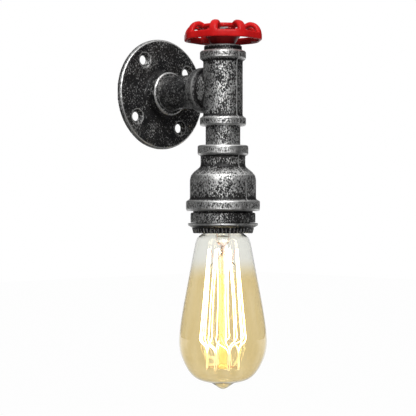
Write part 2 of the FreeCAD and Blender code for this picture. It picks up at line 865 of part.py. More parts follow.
def make_stem_clip():
    body = new_body("stem_clip")
    inner = "(Sizes.spindle_core / 2 + Sizes.clip_gap)"
    outer = "Sizes.clip_diameter / 2"
    middle = "(%s - Sizes.spindle_groove / 2)" % clip_top
    half = "Sizes.clip_sheet / 2"
    revolve(body, "clip_turned", [
        (inner, "%s - %s" % (middle, half)),
        (outer, "%s - %s" % (middle, half)),
        (outer, "%s + %s" % (middle, half)),
        (inner, "%s + %s" % (middle, half)),
    ])
    # The open side that lets the clip slip into the spindle's groove.
    sketch = new_sketch(body, "opening_outline", "XY_Plane", clip_top)
    polygon(sketch, [
        ("0", "-%s" % spindle_radius),
        (outer + " + Sizes.clip_sheet", "-%s" % spindle_radius),
        (outer + " + Sizes.clip_sheet", spindle_radius),
        ("0", spindle_radius),
    ])
    through_pocket(body, "opening", sketch, False, "2 * Sizes.spindle_groove")
    stand(body)
    return body


def ring_of_prisms(corners, foot, height, count, turn):
    """Upright prisms with one outline, spaced evenly about the axis."""
    points = [FreeCAD.Vector(across, up, foot) for across, up in corners]
    prism = Part.Face(Part.makePolygon(points + points[:1])).extrude(FreeCAD.Vector(0, 0, height))
    copies = []
    for index in range(count):
        copy = prism.copy()
        turned = turn + index * 360.0 / count
        copy.rotate(FreeCAD.Vector(0, 0, 0), FreeCAD.Vector(0, 0, 1), turned)
        copies.append(copy)
    return Part.makeCompound(copies)


def rounded_polygon(reach, count, corner, foot, height):
    """Upright polygon block whose corners, rounded, just touch the reach."""
    step = math.pi / count
    sharp = reach + corner * (1 / math.cos(step) - 1)
    points = []
    for index in range(count + 1):
        angle = 2 * step * (index % count)
        points.append(FreeCAD.Vector(sharp * math.cos(angle), sharp * math.sin(angle), foot))
    block = Part.Face(Part.makePolygon(points)).extrude(FreeCAD.Vector(0, 0, height))
    upright = [edge for edge in block.Edges if abs(edge.tangentAt(0).z) > 0.999]
    return block.makeFillet(corner, upright)


def make_handwheel():
    """Valve wheel: eight fingers arch from an octagonal band up to a crest ring,
    and spokes run down the dish inside the ring to a conical hub."""
    count = sizes["wheel_fingers"]
    step = math.pi / count
    gauge = value("Sizes.wheel_sheet")
    rim = value("Sizes.wheel_diameter / 2")
    bend = value("Sizes.wheel_shoulder")
    foot = value(wheel_foot)
    hub = value(hub_foot)
    web = value(web_top)
    hump_top = foot + value("Sizes.wheel_height")
    crest_top = hump_top - value("Sizes.wheel_hump")
    crest_under = crest_top - gauge
    crest = value("Sizes.wheel_crest / 2")
    bore = value(spindle_bore)
    dish = value("Sizes.wheel_dish / 2")
    dish_foot = value("Sizes.wheel_dish_foot / 2")

    def at(radius, height):
        return FreeCAD.Vector(radius, 0, height)

    def bend_from(radius):
        """Corners along the shoulder's quarter turn, from the top outwards."""
        parts = 4
        angles = [math.pi / 2 * (1 - index / parts) for index in range(parts + 1)]
        centre = at(rim - bend, hump_top - bend)
        return [centre + at(radius * math.cos(angle), radius * math.sin(angle)) for angle in angles]

    lip = value("Sizes.wheel_dish_round")
    outline = [
        at(dish + lip, crest_top),
        at(dish - lip / 4, crest_top - lip / 2),
        at(dish_foot, web),
        at(bore, web),
        at(bore, hub),
        at(value("Sizes.wheel_hub_foot / 2"), hub),
        at(value("Sizes.wheel_hub_top / 2"), web - gauge),
        at(dish_foot + gauge / 2, web - gauge),
        at(dish + gauge, crest_under),
        at((crest + gauge / 3) / math.cos(step / 2), crest_under),
    ]
    outline.extend(bend_from(bend - gauge))
    outline.extend([at(rim - gauge, foot), at(rim, foot)])
    outline.extend(reversed(bend_from(bend)))
    # Each finger's inner end steps up from the ring, clear of the windows' corners.
    step_foot = (crest + gauge / 2) / math.cos(step / 2)
    outline.extend([at(step_foot + gauge / 3, hump_top - gauge / 3), at(step_foot, crest_top)])
    section = Part.Face(Part.makePolygon(outline + outline[:1]))
    wheel = section.revolve(FreeCAD.Vector(0, 0, 0), FreeCAD.Vector(0, 0, 1), 360)

    def half_gap(radius, web_width):
        return radius * math.tan(step) - web_width / 2 / math.cos(step)

    def gap_corners(inner, inner_web, outer, outer_web):
        near = half_gap(inner, inner_web)
        far = half_gap(outer, outer_web)
        return [(inner, -near), (outer, -far), (outer, far), (inner, near)]

    # Outer windows run from the crest ring out past the band, between two fingers.
    tip = value("Sizes.wheel_finger_tip")
    base = value("Sizes.wheel_finger_foot")
    tall = hump_top - hub + gauge
    turn = math.degrees(step)
    finger_gaps = gap_corners(crest, tip, rim + bend, base)
    wheel = wheel.cut(ring_of_prisms(finger_gaps, hub, tall, count, turn))
    # Inner windows lie in the dish, between two spokes and below its rim.
    spoke = value("Sizes.wheel_spoke")
    gap_in = dish_foot + value("Sizes.wheel_dish_round")
    gap_top = crest_top - value("Sizes.wheel_dish_rim")
    spoke_gaps = gap_corners(gap_in, spoke, dish + gauge, spoke)
    wheel = wheel.cut(ring_of_prisms(spoke_gaps, hub, gap_top - hub, count, turn))
    # The band joins the fingers' feet, its rounded corners at the fingers.
    corner = value("Sizes.wheel_corner")
    height = value("Sizes.wheel_band")
    band = rounded_polygon(rim, count, corner, foot, height)
    band = band.cut(rounded_polygon(rim - gauge, count, corner - gauge, foot, height))
    piece = keep_shape("handwheel", wheel.fuse(band))
    stand(piece, "Sizes.wheel_turn")
    return piece


def make_wheel_washer():
    body = new_body("wheel_washer")
    revolve(body, "washer_turned", [
        (spindle_bore, web_top),
        ("Sizes.washer_diameter / 2", web_top),
        ("Sizes.washer_diameter / 2", washer_top),
        (spindle_bore, washer_top),
    ])
    stand(body)
    return body


def make_wheel_nut():
    body = new_body("wheel_nut")
    sketch = new_sketch(body, "nut_outline", "XY_Plane", washer_top)
    sides = 6
    reach = "Sizes.nut_width / 2 / cos(30deg)"
    corners = []
    for index in range(sides):
        angle = "%d * 60deg" % index
        corners.append(("%s * cos(%s)" % (reach, angle), "%s * sin(%s)" % (reach, angle)))
    polygon(sketch, corners)
    circle(sketch, "0", "0", spindle_bore)
    pad(body, "nut_blank", sketch, "Sizes.nut_height")
    # Turned bevel across the six top corners.
    revolve(body, "nut_bevel", [
        ("Sizes.nut_width / 2", nut_top),
        ("Sizes.nut_width / 2 + 2 * Sizes.nut_bevel", nut_top + " - Sizes.nut_bevel"),
        ("Sizes.nut_width / 2 + 2 * Sizes.nut_bevel", nut_top),
    ], kind="Groove")
    stand(body)
    return body


def make_leads():
    """Live and neutral leads from the terminals, up the drop and out along the arm."""
    radius = value("Sizes.lead_diameter / 2")
    tab_top = value(insulator_top) + value("Sizes.contact_sheet")
    rise = value("Sizes.lead_rise")
    mouth = value("Sizes.arm_reach") - value("Sizes.lead_mouth")
    entry = value("Sizes.reducer_passage / 2") + value(reducer_top) - value("Sizes.reducer_passage")
    front = -rise
    pieces = []
    ends = []
    for label, side in (("wire_live", 1), ("wire_neutral", -1)):
        wide = side * value("Sizes.terminal_spread")
        slim = side * value("Sizes.lead_spread")
        points = [
            FreeCAD.Vector(wide, front + 0.6, tab_top),
            FreeCAD.Vector(wide, front + 0.6, tab_top + rise),
            FreeCAD.Vector(slim, front, entry),
            FreeCAD.Vector(slim * 0.9, front, rise),
            FreeCAD.Vector(slim, mouth * 0.55, rise * 0.8),
            FreeCAD.Vector(slim * 1.05, mouth - value("Sizes.ferrule_length"), rise),
        ]
        path = run_of_arcs(points)
        bends = [edge.Curve.Radius for edge in path.Edges if isinstance(edge.Curve, Part.Circle)]
        print(label, "length %.1f" % path.Length, "arc radii", [round(bend, 1) for bend in bends])
        pieces.append(keep_shape(label, round_wire(path, radius)))
        ends.append((points[-1], points[-1] - points[-2]))
    ferrule = value("Sizes.ferrule_diameter / 2")
    length = value("Sizes.ferrule_length")
    tubes = [Part.makeCylinder(ferrule, length, end, along) for end, along in ends]
    pieces.append(keep_shape("wire_ferrules", Part.makeCompound(tubes)))
    return pieces


def make_bulb_cap():
    body = new_body("bulb_cap")
    outer = "Sizes.cap_diameter / 2"
    inner = "(Sizes.cap_diameter / 2 - Sizes.cap_sheet)"
    cone = "Sizes.cap_cone / 2"
    revolve(body, "cap_turned", [
        (inner, cap_foot),
        (outer, cap_foot),
        (outer, cap_top),
        (cone, glass_ring_foot),
        (cone + " - Sizes.cap_sheet", glass_ring_foot + " - Sizes.cap_sheet"),
        (inner, cap_top + " - Sizes.cap_sheet"),
    ])
    stand(body)
    return body


def make_bulb_insulator():
    body = new_body("bulb_insulator")
    revolve(body, "ring_of_glass", [
        ("0", glass_ring_foot),
        ("Sizes.cap_cone / 2", glass_ring_foot),
        ("Sizes.cap_glass_foot / 2", tip_foot),
        ("0", tip_foot),
    ])
    stand(body)
    return body


def make_bulb_contact():
    body = new_body("bulb_contact")
    revolve(body, "solder_tip", [
        ("0", tip_foot),
        ("Sizes.cap_tip_diameter / 2", tip_foot),
        ("Sizes.cap_tip_diameter / 4", lamp_tip),
        ("0", lamp_tip),
    ])
    stand(body)
    return body


def glass_section(inset):
    """Half section of the lamp glass, drawn in by an inset for the hollow.

    The side follows a smooth curve that the named diameters pull outwards,
    as cones between points of that curve. Its lower half hangs from the height
    of the stem's lower button, so that it always clears the cage.
    """
    def at(diameter, distance, shift=0.0):
        return FreeCAD.Vector(value("Sizes.%s / 2" % diameter) - inset, 0, value(drop(distance)) + shift)

    top = value(cap_foot) + value("Sizes.glass_tuck")
    neck = value("Sizes.glass_neck / 2") - inset
    neck_foot = value(cap_foot) - value("Sizes.glass_neck_height")
    below = "stem_lower_drop + Sizes."
    tip = value(drop(below + "glass_tip_fall")) + inset
    tip_round = value("Sizes.glass_tip_round")
    side = Part.BSplineCurve()
    side.buildFromPoles([
        FreeCAD.Vector(neck, 0, neck_foot),
        FreeCAD.Vector(neck, 0, neck_foot - 2 * value("Sizes.glass_neck_height")),
        at("glass_collar", "glass_collar_drop", -inset),
        at("glass_shoulder", "glass_shoulder_drop"),
        at("glass_flank", "glass_flank_drop"),
        at("glass_side", "glass_side_drop"),
        at("glass_swell", "glass_swell_drop"),
        at("glass_widest", "stem_lower_drop - Sizes.glass_widest_rise"),
        at("glass_belly", "stem_lower_drop - Sizes.glass_belly_rise", inset / 3),
        at("glass_heel", below + "glass_heel_fall", inset / 2),
        at("glass_round", below + "glass_round_fall", inset),
        at("glass_base", below + "glass_base_fall", inset),
    ], False, 3)
    corners = [FreeCAD.Vector(0, 0, top), FreeCAD.Vector(neck, 0, top)]
    corners.extend(side.discretize(Number=sizes["glass_rings"]))
    corners.append(FreeCAD.Vector(tip_round, 0, tip + tip_round * 0.35))
    corners.append(FreeCAD.Vector(0, 0, tip))
    return Part.Face(Part.makePolygon(corners + corners[:1]))


def make_bulb_glass():
    axis = FreeCAD.Vector(0, 0, 1)
    origin = FreeCAD.Vector(0, 0, 0)
    outside = glass_section(0.0).revolve(origin, axis, 360)
    inside = glass_section(value("Sizes.glass_wall")).revolve(origin, axis, 360)
    return keep_shape("bulb_glass", outside.cut(inside))


def make_bulb_stem():
    """Flared glass foot, the press that seals the leads, and the rod with its buttons."""
    body = new_body("bulb_stem")
    foot = "Sizes.stem_foot / 2"
    wall = "Sizes.stem_wall"
    press = "Sizes.stem_press / 2"
    rod = "Sizes.stem_rod / 2"
    flare_top = "(%s + Sizes.glass_tuck)" % cap_foot
    press_top = drop("stem_press_drop")
    press_foot = "(%s - Sizes.stem_press_height)" % press_top
    flare_waist = "(%s - Sizes.glass_tuck)" % cap_foot

    def button(radius, distance):
        middle = drop(distance)
        half = "Sizes.stem_button_height / 2"
        return [
            (rod, "%s + %s" % (middle, half)),
            (radius, "%s + %s / 2" % (middle, half)),
            (radius, "%s - %s / 2" % (middle, half)),
            (rod, "%s - %s" % (middle, half)),
        ]

    lower = button("Sizes.stem_lower_button / 2", "stem_lower_drop")
    revolve(body, "stem_blown", [
        ("%s - %s" % (foot, wall), flare_top),
        (foot, flare_top),
        ("%s * 0.7" % foot, flare_waist),
        (press, press_top),
        (press, press_foot),
        (rod, press_foot + " - Sizes.stem_rod / 2"),
    ] + button("Sizes.stem_upper_button / 2", "stem_upper_drop") + lower[:3] + [
        ("0", lower[3][1]),
        ("0", press_top),
        ("%s - %s" % (press, wall), "%s + %s" % (press_top, wall)),
        ("%s * 0.7 - %s" % (foot, wall), flare_waist),
    ])
    stand(body)
    return body


def make_bulb_lead_wires():
    """Two leads that run from the cap into the press, then out to the cage."""
    radius = value("Sizes.lamp_lead / 2")
    spread = value("Sizes.lamp_lead_spread")
    tight = value("Sizes.lamp_lead")
    start = value(cap_foot) + value("Sizes.glass_tuck")
    press = value(drop("stem_press_drop"))
    press_foot = press - value("Sizes.stem_press_height")
    hook = value(drop("cage_top_drop"))
    turn = math.radians(value("Sizes.cage_turn") - value("360 / Sizes.cage_hooks / 2"))
    cage = value("Sizes.cage_top") - value("Sizes.cage_loop")
    wires = []
    for side in (1, -1):
        reach = FreeCAD.Vector(side * cage * math.cos(turn), side * cage * math.sin(turn), 0)
        middle = FreeCAD.Vector(side * tight, 0, (press + press_foot) / 2)
        points = [
            FreeCAD.Vector(side * spread, 0, start),
            FreeCAD.Vector(side * spread, 0, start - 2 * value("Sizes.glass_tuck")),
            FreeCAD.Vector(side * tight, 0, press + 1.0),
            middle,
            FreeCAD.Vector(side * tight * 1.1, 0, press_foot - 1.5),
            FreeCAD.Vector(reach.x * 0.6, reach.y * 0.6, press_foot - 2.5),
            FreeCAD.Vector(reach.x, reach.y, hook),
        ]
        wires.append(fine_wire(points, radius))
    return keep_shape("bulb_lead_wires", Part.makeCompound(wires))


def cage_point(radius, angle, height, aside=0.0):
    """Point on the cage, moved aside along the circle by a straight distance."""
    return FreeCAD.Vector(
        radius * math.cos(angle) - aside * math.sin(angle),
        radius * math.sin(angle) + aside * math.cos(angle),
        height)


def make_bulb_supports():
    """Hooks from the upper button to the cage's top, and from the lower to its foot.

    The lamp's two leads take the place of two upper hooks.
    """
    radius = value("Sizes.support / 2")
    loop = value("Sizes.cage_loop")
    inside = loop - value("Sizes.filament") - radius * 1.5
    count = sizes["cage_hooks"]
    step = 2 * math.pi / count
    turn = math.radians(value("Sizes.cage_turn"))
    upper = value(drop("stem_upper_drop"))
    lower = value(drop("stem_lower_drop"))
    wires = []
    for index in range(count):
        angle = turn + index * step
        half_way = angle + step / 2
        top = value(drop("cage_top_drop")) + inside
        end = value(cage_end) - inside
        rest = value("Sizes.cage_top")
        foot = value("Sizes.cage_foot")
        edge = value("Sizes.stem_upper_button / 2") - radius
        base = value("Sizes.stem_lower_button / 2") - radius
        ways = [[
            cage_point(edge, half_way, upper),
            cage_point(edge * 1.6, half_way, upper + 1.0),
            cage_point(rest - 2.2 * loop, half_way, top - 1.0),
            cage_point(rest - loop, half_way, top),
            cage_point(rest + loop, half_way, top),
        ]] if index % (count // 2) < count // 2 - 1 else []
        ways.append([
            cage_point(base, angle, lower),
            cage_point(foot - loop, angle, end),
            cage_point(foot + loop, angle, end),
        ])
        for points in ways:
            wires.append(fine_wire(points, radius))
    return keep_shape("bulb_supports", Part.makeCompound(wires))


def make_bulb_filament():
    """Squirrel cage: one wire strung up and down between the hooks, bowed near its foot."""
    radius = value("Sizes.filament / 2")
    loop = value("Sizes.cage_loop")
    count = sizes["cage_hooks"]
    step = 2 * math.pi / count
    turn = math.radians(value("Sizes.cage_turn"))
    top = value(drop("cage_top_drop"))
    bulge = value(drop("cage_bulge_drop"))
    end = value(cage_end)
    knee = end + value("Sizes.cage_foot_run")
    points = []

    def strand(angle, side):
        """Points of one strand from its top hook down, at one side of a lower hook."""
        spread = angle + side * step / 4
        hung = angle + side * step / 2
        return [
            cage_point(value("Sizes.cage_top"), hung, top, -side * loop),
            cage_point(value("Sizes.cage_waist"), spread, (top + bulge) / 2),
            cage_point(value("Sizes.cage_bulge"), spread, bulge),
            cage_point(value("Sizes.cage_foot"), angle, knee, side * loop),
            cage_point(value("Sizes.cage_foot"), angle, end, side * loop),
        ]

    for index in range(count):
        angle = turn + index * step
        if points:
            points.append(cage_point(value("Sizes.cage_top"), angle - step / 2, top + loop))
        points.extend(strand(angle, -1))
        points.append(cage_point(value("Sizes.cage_foot"), angle, end - loop))
        points.extend(reversed(strand(angle, 1)))
    return keep_shape("bulb_filament", fine_wire(points, radius))


makers = [
    make_wall_flange, make_arm_nipple, make_tee, make_drop_nipple, make_reducer,
    make_lampholder_shell, make_lampholder_insulator, make_screw_shell,
    make_centre_contact, make_shell_terminal, make_terminal_screws, make_shade_ring,
    make_top_plug, make_valve_stem, make_stem_clip, make_handwheel,
    make_wheel_washer, make_wheel_nut, make_leads, make_bulb_cap,
    make_bulb_insulator, make_bulb_contact, make_bulb_glass, make_bulb_stem,
    make_bulb_lead_wires, make_bulb_supports, make_bulb_filament,
]

nodes = []
for make in makers:
    made = make()
    nodes.extend(made if isinstance(made, list) else [made])
doc.recompute()

for item in doc.Objects:
    if "Invalid" in item.State or "Error" in item.State:
        raise ValueError("%s failed: %s" % (item.Label, item.State))
for node in nodes:
    if node.Shape.isNull() or not node.Shape.isValid():
        raise ValueError("%s has no valid shape" % node.Label)

os.makedirs("parts", exist_ok=True)
for node in nodes:
    node.Shape.exportStep("parts/%s.step" % node.Label)
    print("%-22s %9.1f mm3" % (node.Label, node.Shape.Volume))
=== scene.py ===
import bpy
import bmesh
import math
import numpy as np
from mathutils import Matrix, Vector


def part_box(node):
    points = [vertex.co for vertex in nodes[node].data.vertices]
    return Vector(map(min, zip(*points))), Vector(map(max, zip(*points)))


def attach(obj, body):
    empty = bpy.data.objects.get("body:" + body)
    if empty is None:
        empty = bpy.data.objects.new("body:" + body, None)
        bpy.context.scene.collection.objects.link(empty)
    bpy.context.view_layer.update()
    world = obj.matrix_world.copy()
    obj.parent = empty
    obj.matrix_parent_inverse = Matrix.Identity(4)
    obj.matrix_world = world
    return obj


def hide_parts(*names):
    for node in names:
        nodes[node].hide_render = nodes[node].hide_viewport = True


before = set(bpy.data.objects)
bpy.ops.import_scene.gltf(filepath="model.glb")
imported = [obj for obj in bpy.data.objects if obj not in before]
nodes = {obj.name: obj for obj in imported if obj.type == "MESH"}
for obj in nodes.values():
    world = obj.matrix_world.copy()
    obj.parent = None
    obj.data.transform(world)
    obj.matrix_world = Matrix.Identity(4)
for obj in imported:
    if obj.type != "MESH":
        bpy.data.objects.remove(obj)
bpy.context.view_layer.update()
dropY = -73.0  # mm, where the tee, the reducer and the lamp hang
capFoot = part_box("bulb_cap")[0][2] * 1000  # mm, lower edge of the lamp's cap
print("frame loaded,", len(nodes), "nodes")


# camera: level, its turn from the photograph; the focal length in pixels is a guess and sets the distance
shot = {"turn": -43.0, "distance": 0.9815, "height": -0.0901, "aside": -0.0113, "focal": 1300, "width": 416}


def makeCamera():
    turn = math.radians(shot["turn"])
    back = Vector((math.sin(turn), -math.cos(turn), 0))
    right = Vector((math.cos(turn), math.sin(turn), 0))
    target = Vector((0, dropY / 1000, shot["height"])) + right * shot["aside"]
    camera = bpy.data.objects.new("camera", bpy.data.cameras.new("camera"))
    bpy.context.scene.collection.objects.link(camera)
    camera.location = target + back * shot["distance"]
    camera.rotation_euler = (target - camera.location).to_track_quat("-Z", "Y").to_euler()
    camera.data.sensor_width = 36
    camera.data.lens = shot["focal"] * 36 / shot["width"]
    bpy.context.scene.camera = camera
    return back, right


towardsCamera, acrossView = makeCamera()


# node helpers: values that are sockets get linked, the rest are set

def put(tree, kind, values=None, **settings):
    node = tree.nodes.new(kind)
    for key, setting in settings.items():
        setattr(node, key, setting)
    for key, given in (values or {}).items():
        if isinstance(given, bpy.types.NodeSocket):
            tree.links.new(given, node.inputs[key])
        else:
            node.inputs[key].default_value = given
    return node


def maths(tree, operation, first, second=0.0, clamp=False):
    return put(tree, "ShaderNodeMath", {0: first, 1: second}, operation=operation, use_clamp=clamp).outputs[0]


def vector(tree, operation, first, second=(0, 0, 0)):
    node = put(tree, "ShaderNodeVectorMath", {0: first, 1: second}, operation=operation)
    return node.outputs["Value" if operation in ("DOT_PRODUCT", "LENGTH", "DISTANCE") else "Vector"]


def axisOf(tree, place, axis):
    return put(tree, "ShaderNodeSeparateXYZ", {0: place}).outputs[axis]


def ramp(tree, value, low, high, start=0.0, end=1.0):
    settings = {"Value": value, "From Min": low, "From Max": high, "To Min": start, "To Max": end}
    return put(tree, "ShaderNodeMapRange", settings, interpolation_type="SMOOTHSTEP").outputs["Result"]


def noise(tree, place, scale, detail=2.0, rough=0.5):
    settings = {"Vector": place, "Scale": scale, "Detail": detail, "Roughness": rough}
    return put(tree, "ShaderNodeTexNoise", settings).outputs["Fac"]


def mixed(tree, share, first, second):
    node = put(tree, "ShaderNodeMix", data_type="RGBA")
    for index, given in ((0, share), (6, first), (7, second)):
        if isinstance(given, bpy.types.NodeSocket):
            tree.links.new(given, node.inputs[index])
        else:
            node.inputs[index].default_value = given
    return node.outputs[2]


def newGroup(name, inputs, outputs):
    tree = bpy.data.node_groups.new(name, "ShaderNodeTree")
    for label, kind, value in inputs:
        socket = tree.interface.new_socket(label, in_out="INPUT", socket_type=kind)
        if value is not None:
            socket.default_value = value
    for label, kind in outputs:
        tree.interface.new_socket(label, in_out="OUTPUT", socket_type=kind)
    return tree, tree.nodes.new("NodeGroupInput").outputs, tree.nodes.new("NodeGroupOutput").inputs


# silver dry-brushed over black paint: fine specks, more of them on proud edges
def makeDryBrush():
    inputs = [("Place", "NodeSocketVector", None), ("Wear", "NodeSocketFloat", 0.0),
              ("Scale", "NodeSocketFloat", 900.0), ("Amount", "NodeSocketFloat", 0.5)]
    tree, given, out = newGroup("dryBrush", inputs, [("Mask", "NodeSocketFloat")])
    drawn = put(tree, "ShaderNodeMapping", {"Vector": given["Place"], "Scale": (1, 1, 0.6)}).outputs[0]
    specks = maths(tree, "SUBTRACT", noise(tree, drawn, given["Scale"], 2.0, 0.7), 0.5)
    patches = maths(tree, "SUBTRACT", noise(tree, given["Place"], maths(tree, "MULTIPLY", given["Scale"], 0.12)), 0.5)
    level = maths(tree, "ADD", maths(tree, "MULTIPLY", specks, 4.0), maths(tree, "MULTIPLY", patches, 1.2))
    level = maths(tree, "ADD", level, maths(tree, "MULTIPLY", given["Wear"], 0.5))
    level = maths(tree, "ADD", level, given["Amount"])
    tree.links.new(ramp(tree, level, 0.2, 0.9), out["Mask"])
    return tree


# thin bright line where the paint has rubbed off a sharp edge
def makeEdgeRub():
    inputs = [("Place", "NodeSocketVector", None), ("Wear", "NodeSocketFloat", 0.0),
              ("Scale", "NodeSocketFloat", 400.0), ("Start", "NodeSocketFloat", 0.6)]
    tree, given, out = newGroup("edgeRub", inputs, [("Mask", "NodeSocketFloat")])
    broken = noise(tree, given["Place"], given["Scale"], 3.0, 0.6)
    level = maths(tree, "ADD", given["Wear"], maths(tree, "MULTIPLY", maths(tree, "SUBTRACT", broken, 0.5), 0.7))
    high = maths(tree, "ADD", given["Start"], 0.4)
    tree.links.new(ramp(tree, level, given["Start"], high), out["Mask"])
    return tree


# grain of sand-cast or painted metal, as a height for Bump
def makeCastGrain():
    inputs = [("Place", "NodeSocketVector", None), ("Scale", "NodeSocketFloat", 700.0),
              ("Pits", "NodeSocketFloat", 0.5)]
    tree, given, out = newGroup("castGrain", inputs, [("Height", "NodeSocketFloat")])
    grain = noise(tree, given["Place"], given["Scale"], 4.0, 0.6)
    swell = noise(tree, given["Place"], maths(tree, "MULTIPLY", given["Scale"], 0.2), 1.0, 0.5)
    finer = maths(tree, "MULTIPLY", given["Scale"], 0.6)
    holes = put(tree, "ShaderNodeTexVoronoi", {"Vector": given["Place"], "Scale": finer})
    pits = maths(tree, "MULTIPLY", ramp(tree, holes.outputs["Distance"], 0.0, 0.35), given["Pits"])
    tree.links.new(maths(tree, "ADD", maths(tree, "ADD", grain, swell), pits), out["Height"])
    return tree


dryBrush, edgeRub, castGrain = makeDryBrush(), makeEdgeRub(), makeCastGrain()


def newMaterial(name, **fixed):
    material = bpy.data.materials.new(name)
    material.use_nodes = True
    tree = material.node_tree
    skin = tree.nodes["Principled BSDF"]
    for key, value in fixed.items():
        skin.inputs[key.replace("_", " ")].default_value = value
    place = put(tree, "ShaderNodeTexCoord").outputs["Object"]
    return material, tree, skin, place


def proudness(tree, name):
    return put(tree, "ShaderNodeAttribute", attribute_name=name).outputs["Fac"]


def group(tree, made, **values):
    node = tree.nodes.new("ShaderNodeGroup")
    node.node_tree = made
    for key, given in values.items():
        if isinstance(given, bpy.types.NodeSocket):
            tree.links.new(given, node.inputs[key])
        else:
            node.inputs[key].default_value = given
    return node.outputs[0]


def bump(tree, skin, height, strength, distance):
    node = put(tree, "ShaderNodeBump", {"Height": height, "Strength": strength, "Distance": distance})
    tree.links.new(node.outputs["Normal"], skin.inputs["Normal"])


seamFront = -0.0795  # m, the parting line is rubbed bright only in front of this


# black paint under brushed silver, as on every iron fitting
def ironFinish(name, look):
    material, tree, skin, place = newMaterial(name, Specular_IOR_Level=look["gloss"])
    wear = proudness(tree, "wear")
    amount = look["amount"]
    if "split" in look:  # the silver stops at an upright line; the half away from the camera is a guess
        turn = math.radians(look["split"]) + math.atan2(acrossView.y, acrossView.x)
        across = vector(tree, "DOT_PRODUCT", place, (math.cos(turn), math.sin(turn), 0))
        line = dropY / 1000 * math.sin(turn)
        amount = ramp(tree, across, line - 0.0004, line + 0.0004, look["amount"], look["beyond"])
    # broad hollows get less silver: partly the dry brush missing them, partly painted shade
    swell = maths(tree, "MULTIPLY", proudness(tree, "swell"), look["swell"])
    brush = group(tree, dryBrush, Place=place, Wear=maths(tree, "ADD", maths(tree, "MULTIPLY", wear, 0.5), swell),
                  Scale=look["speckScale"], Amount=amount)
    rub = group(tree, edgeRub, Place=place, Wear=wear, Start=look["edgeStart"])
    silver = maths(tree, "MAXIMUM", brush, maths(tree, "MULTIPLY", rub, look["edgeShare"]))
    if "seam" in look:  # the mould's parting line, rubbed bright down the middle of the front
        side = maths(tree, "ABSOLUTE", axisOf(tree, place, "X"))
        front = ramp(tree, axisOf(tree, place, "Y"), seamFront - 0.0005, seamFront, 1.0, 0.0)
        line = maths(tree, "MULTIPLY", ramp(tree, side, 0.0003, 0.0006, look["seam"], 0.0), front)
        silver = maths(tree, "MAXIMUM", silver, line)
    if "outlet" in look:  # painted shade: the side outlet keeps only a fifth of its silver, with one bright line at its end
        reach = axisOf(tree, place, "Y")
        start, end = look["outlet"]
        silver = maths(tree, "MULTIPLY", silver, ramp(tree, reach, start, start + 0.001, 1.0, 0.2))
        line = ramp(tree, reach, end - 0.0007, end - 0.0003, 0.0, 0.85)
        silver = maths(tree, "MAXIMUM", silver, line)
    if "rim" in look:  # the flange's edge: rubbed bright in front, dark round the side
        spread = vector(tree, "LENGTH", vector(tree, "MULTIPLY", place, (1, 0, 1)))
        outer, width = look["rim"]
        silver = maths(tree, "MULTIPLY", silver, ramp(tree, spread, outer - width, outer, 1.0, 0.5))
        line = maths(tree, "MULTIPLY", ramp(tree, spread, outer - width * 1.3, outer - width),
                     ramp(tree, spread, outer - width * 0.7, outer - width * 0.4, 0.8, 0.0))
        silver = maths(tree, "MAXIMUM", silver, line)
    if "holes" in look:  # countersinks rubbed bright at their edges
        middle, edge, turn = look["holes"]
        turned = put(tree, "ShaderNodeVectorRotate", {"Vector": place, "Angle": turn}, rotation_type="Y_AXIS")
        folded = vector(tree, "MULTIPLY", vector(tree, "ABSOLUTE", turned.outputs[0]), (1, 0, 1))
        away = vector(tree, "DISTANCE", folded, (middle, 0, middle))
        line = maths(tree, "MULTIPLY", ramp(tree, away, edge - 0.0006, edge - 0.0002),
                     ramp(tree, away, edge, edge + 0.0004, 0.5, 0.0))
        silver = maths(tree, "MAXIMUM", silver, line)
    if "paintedHighlight" in look:  # painted highlight: a height band where the silver goes bright all round
        height = axisOf(tree, place, "Z")
        low, high = look["paintedHighlight"]
        bright = maths(tree, "MULTIPLY", ramp(tree, height, low - 0.0002, low + 0.0002),
                       ramp(tree, height, high - 0.0001, high + 0.0001, 1.0, 0.0))
        silver = maths(tree, "MAXIMUM", silver, maths(tree, "MULTIPLY", bright, 0.9))
    stain = noise(tree, place, 60.0, 3.0, 0.6)
    paint = mixed(tree, ramp(tree, stain, 0.35, 0.7), look["paint"], look["paintWarm"])
    tree.links.new(mixed(tree, silver, paint, look["silver"]), skin.inputs["Base Color"])
    tree.links.new(maths(tree, "MULTIPLY", silver, look["metal"]), skin.inputs["Metallic"])
    tree.links.new(ramp(tree, noise(tree, place, 300.0), 0.3, 0.7, look["rough"] - 0.08, look["rough"] + 0.1),
                   skin.inputs["Roughness"])
    height = maths(tree, "ADD", group(tree, castGrain, Place=place, Scale=look["grainScale"], Pits=look["pits"]),
                   maths(tree, "MULTIPLY", silver, 0.5))
    bump(tree, skin, height, 0.8, look["grainDepth"])
    return material


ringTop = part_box("shade_ring")[1][2] * 1000
ironLook = {"paint": (0.009, 0.009, 0.010, 1), "paintWarm": (0.017, 0.016, 0.015, 1), "silver": (0.80, 0.80, 0.79, 1),
            "speckScale": 1050.0, "amount": 0.27, "swell": 1.7, "edgeStart": 0.8, "edgeShare": 0.7, "metal": 1.0,
            "rough": 0.38, "gloss": 0.25, "grainScale": 900.0, "grainDepth": 0.00018, "pits": 0.5}
reducerLook = dict(ironLook, seam=0.85)
teeLook = dict(reducerLook, outlet=(-0.0575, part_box("tee")[1][1]))
flangeLook = dict(ironLook, amount=0.02, swell=0.2, edgeStart=1.1, speckScale=1000.0,
                  rim=(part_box("wall_flange")[1][0], 0.0012), holes=(0.02263, 0.0061, math.radians(35.3 - 45)))
pipeLook = dict(ironLook, amount=0.2, rough=0.36, gloss=0.3, grainDepth=0.00008, pits=0.2)
# the arm and the plug carry less silver: partly their own darker finish, partly painted shade
armLook = dict(ironLook, amount=-0.15, rough=0.26, gloss=0.6, grainDepth=0.00008, pits=0.2)
plugLook = dict(ironLook, amount=-0.35, swell=0.4, edgeShare=0.3, rough=0.45)
holderLook = dict(ironLook, amount=0.24, beyond=-0.15, split=0.0, speckScale=1300.0, edgeShare=0.5, rough=0.4)
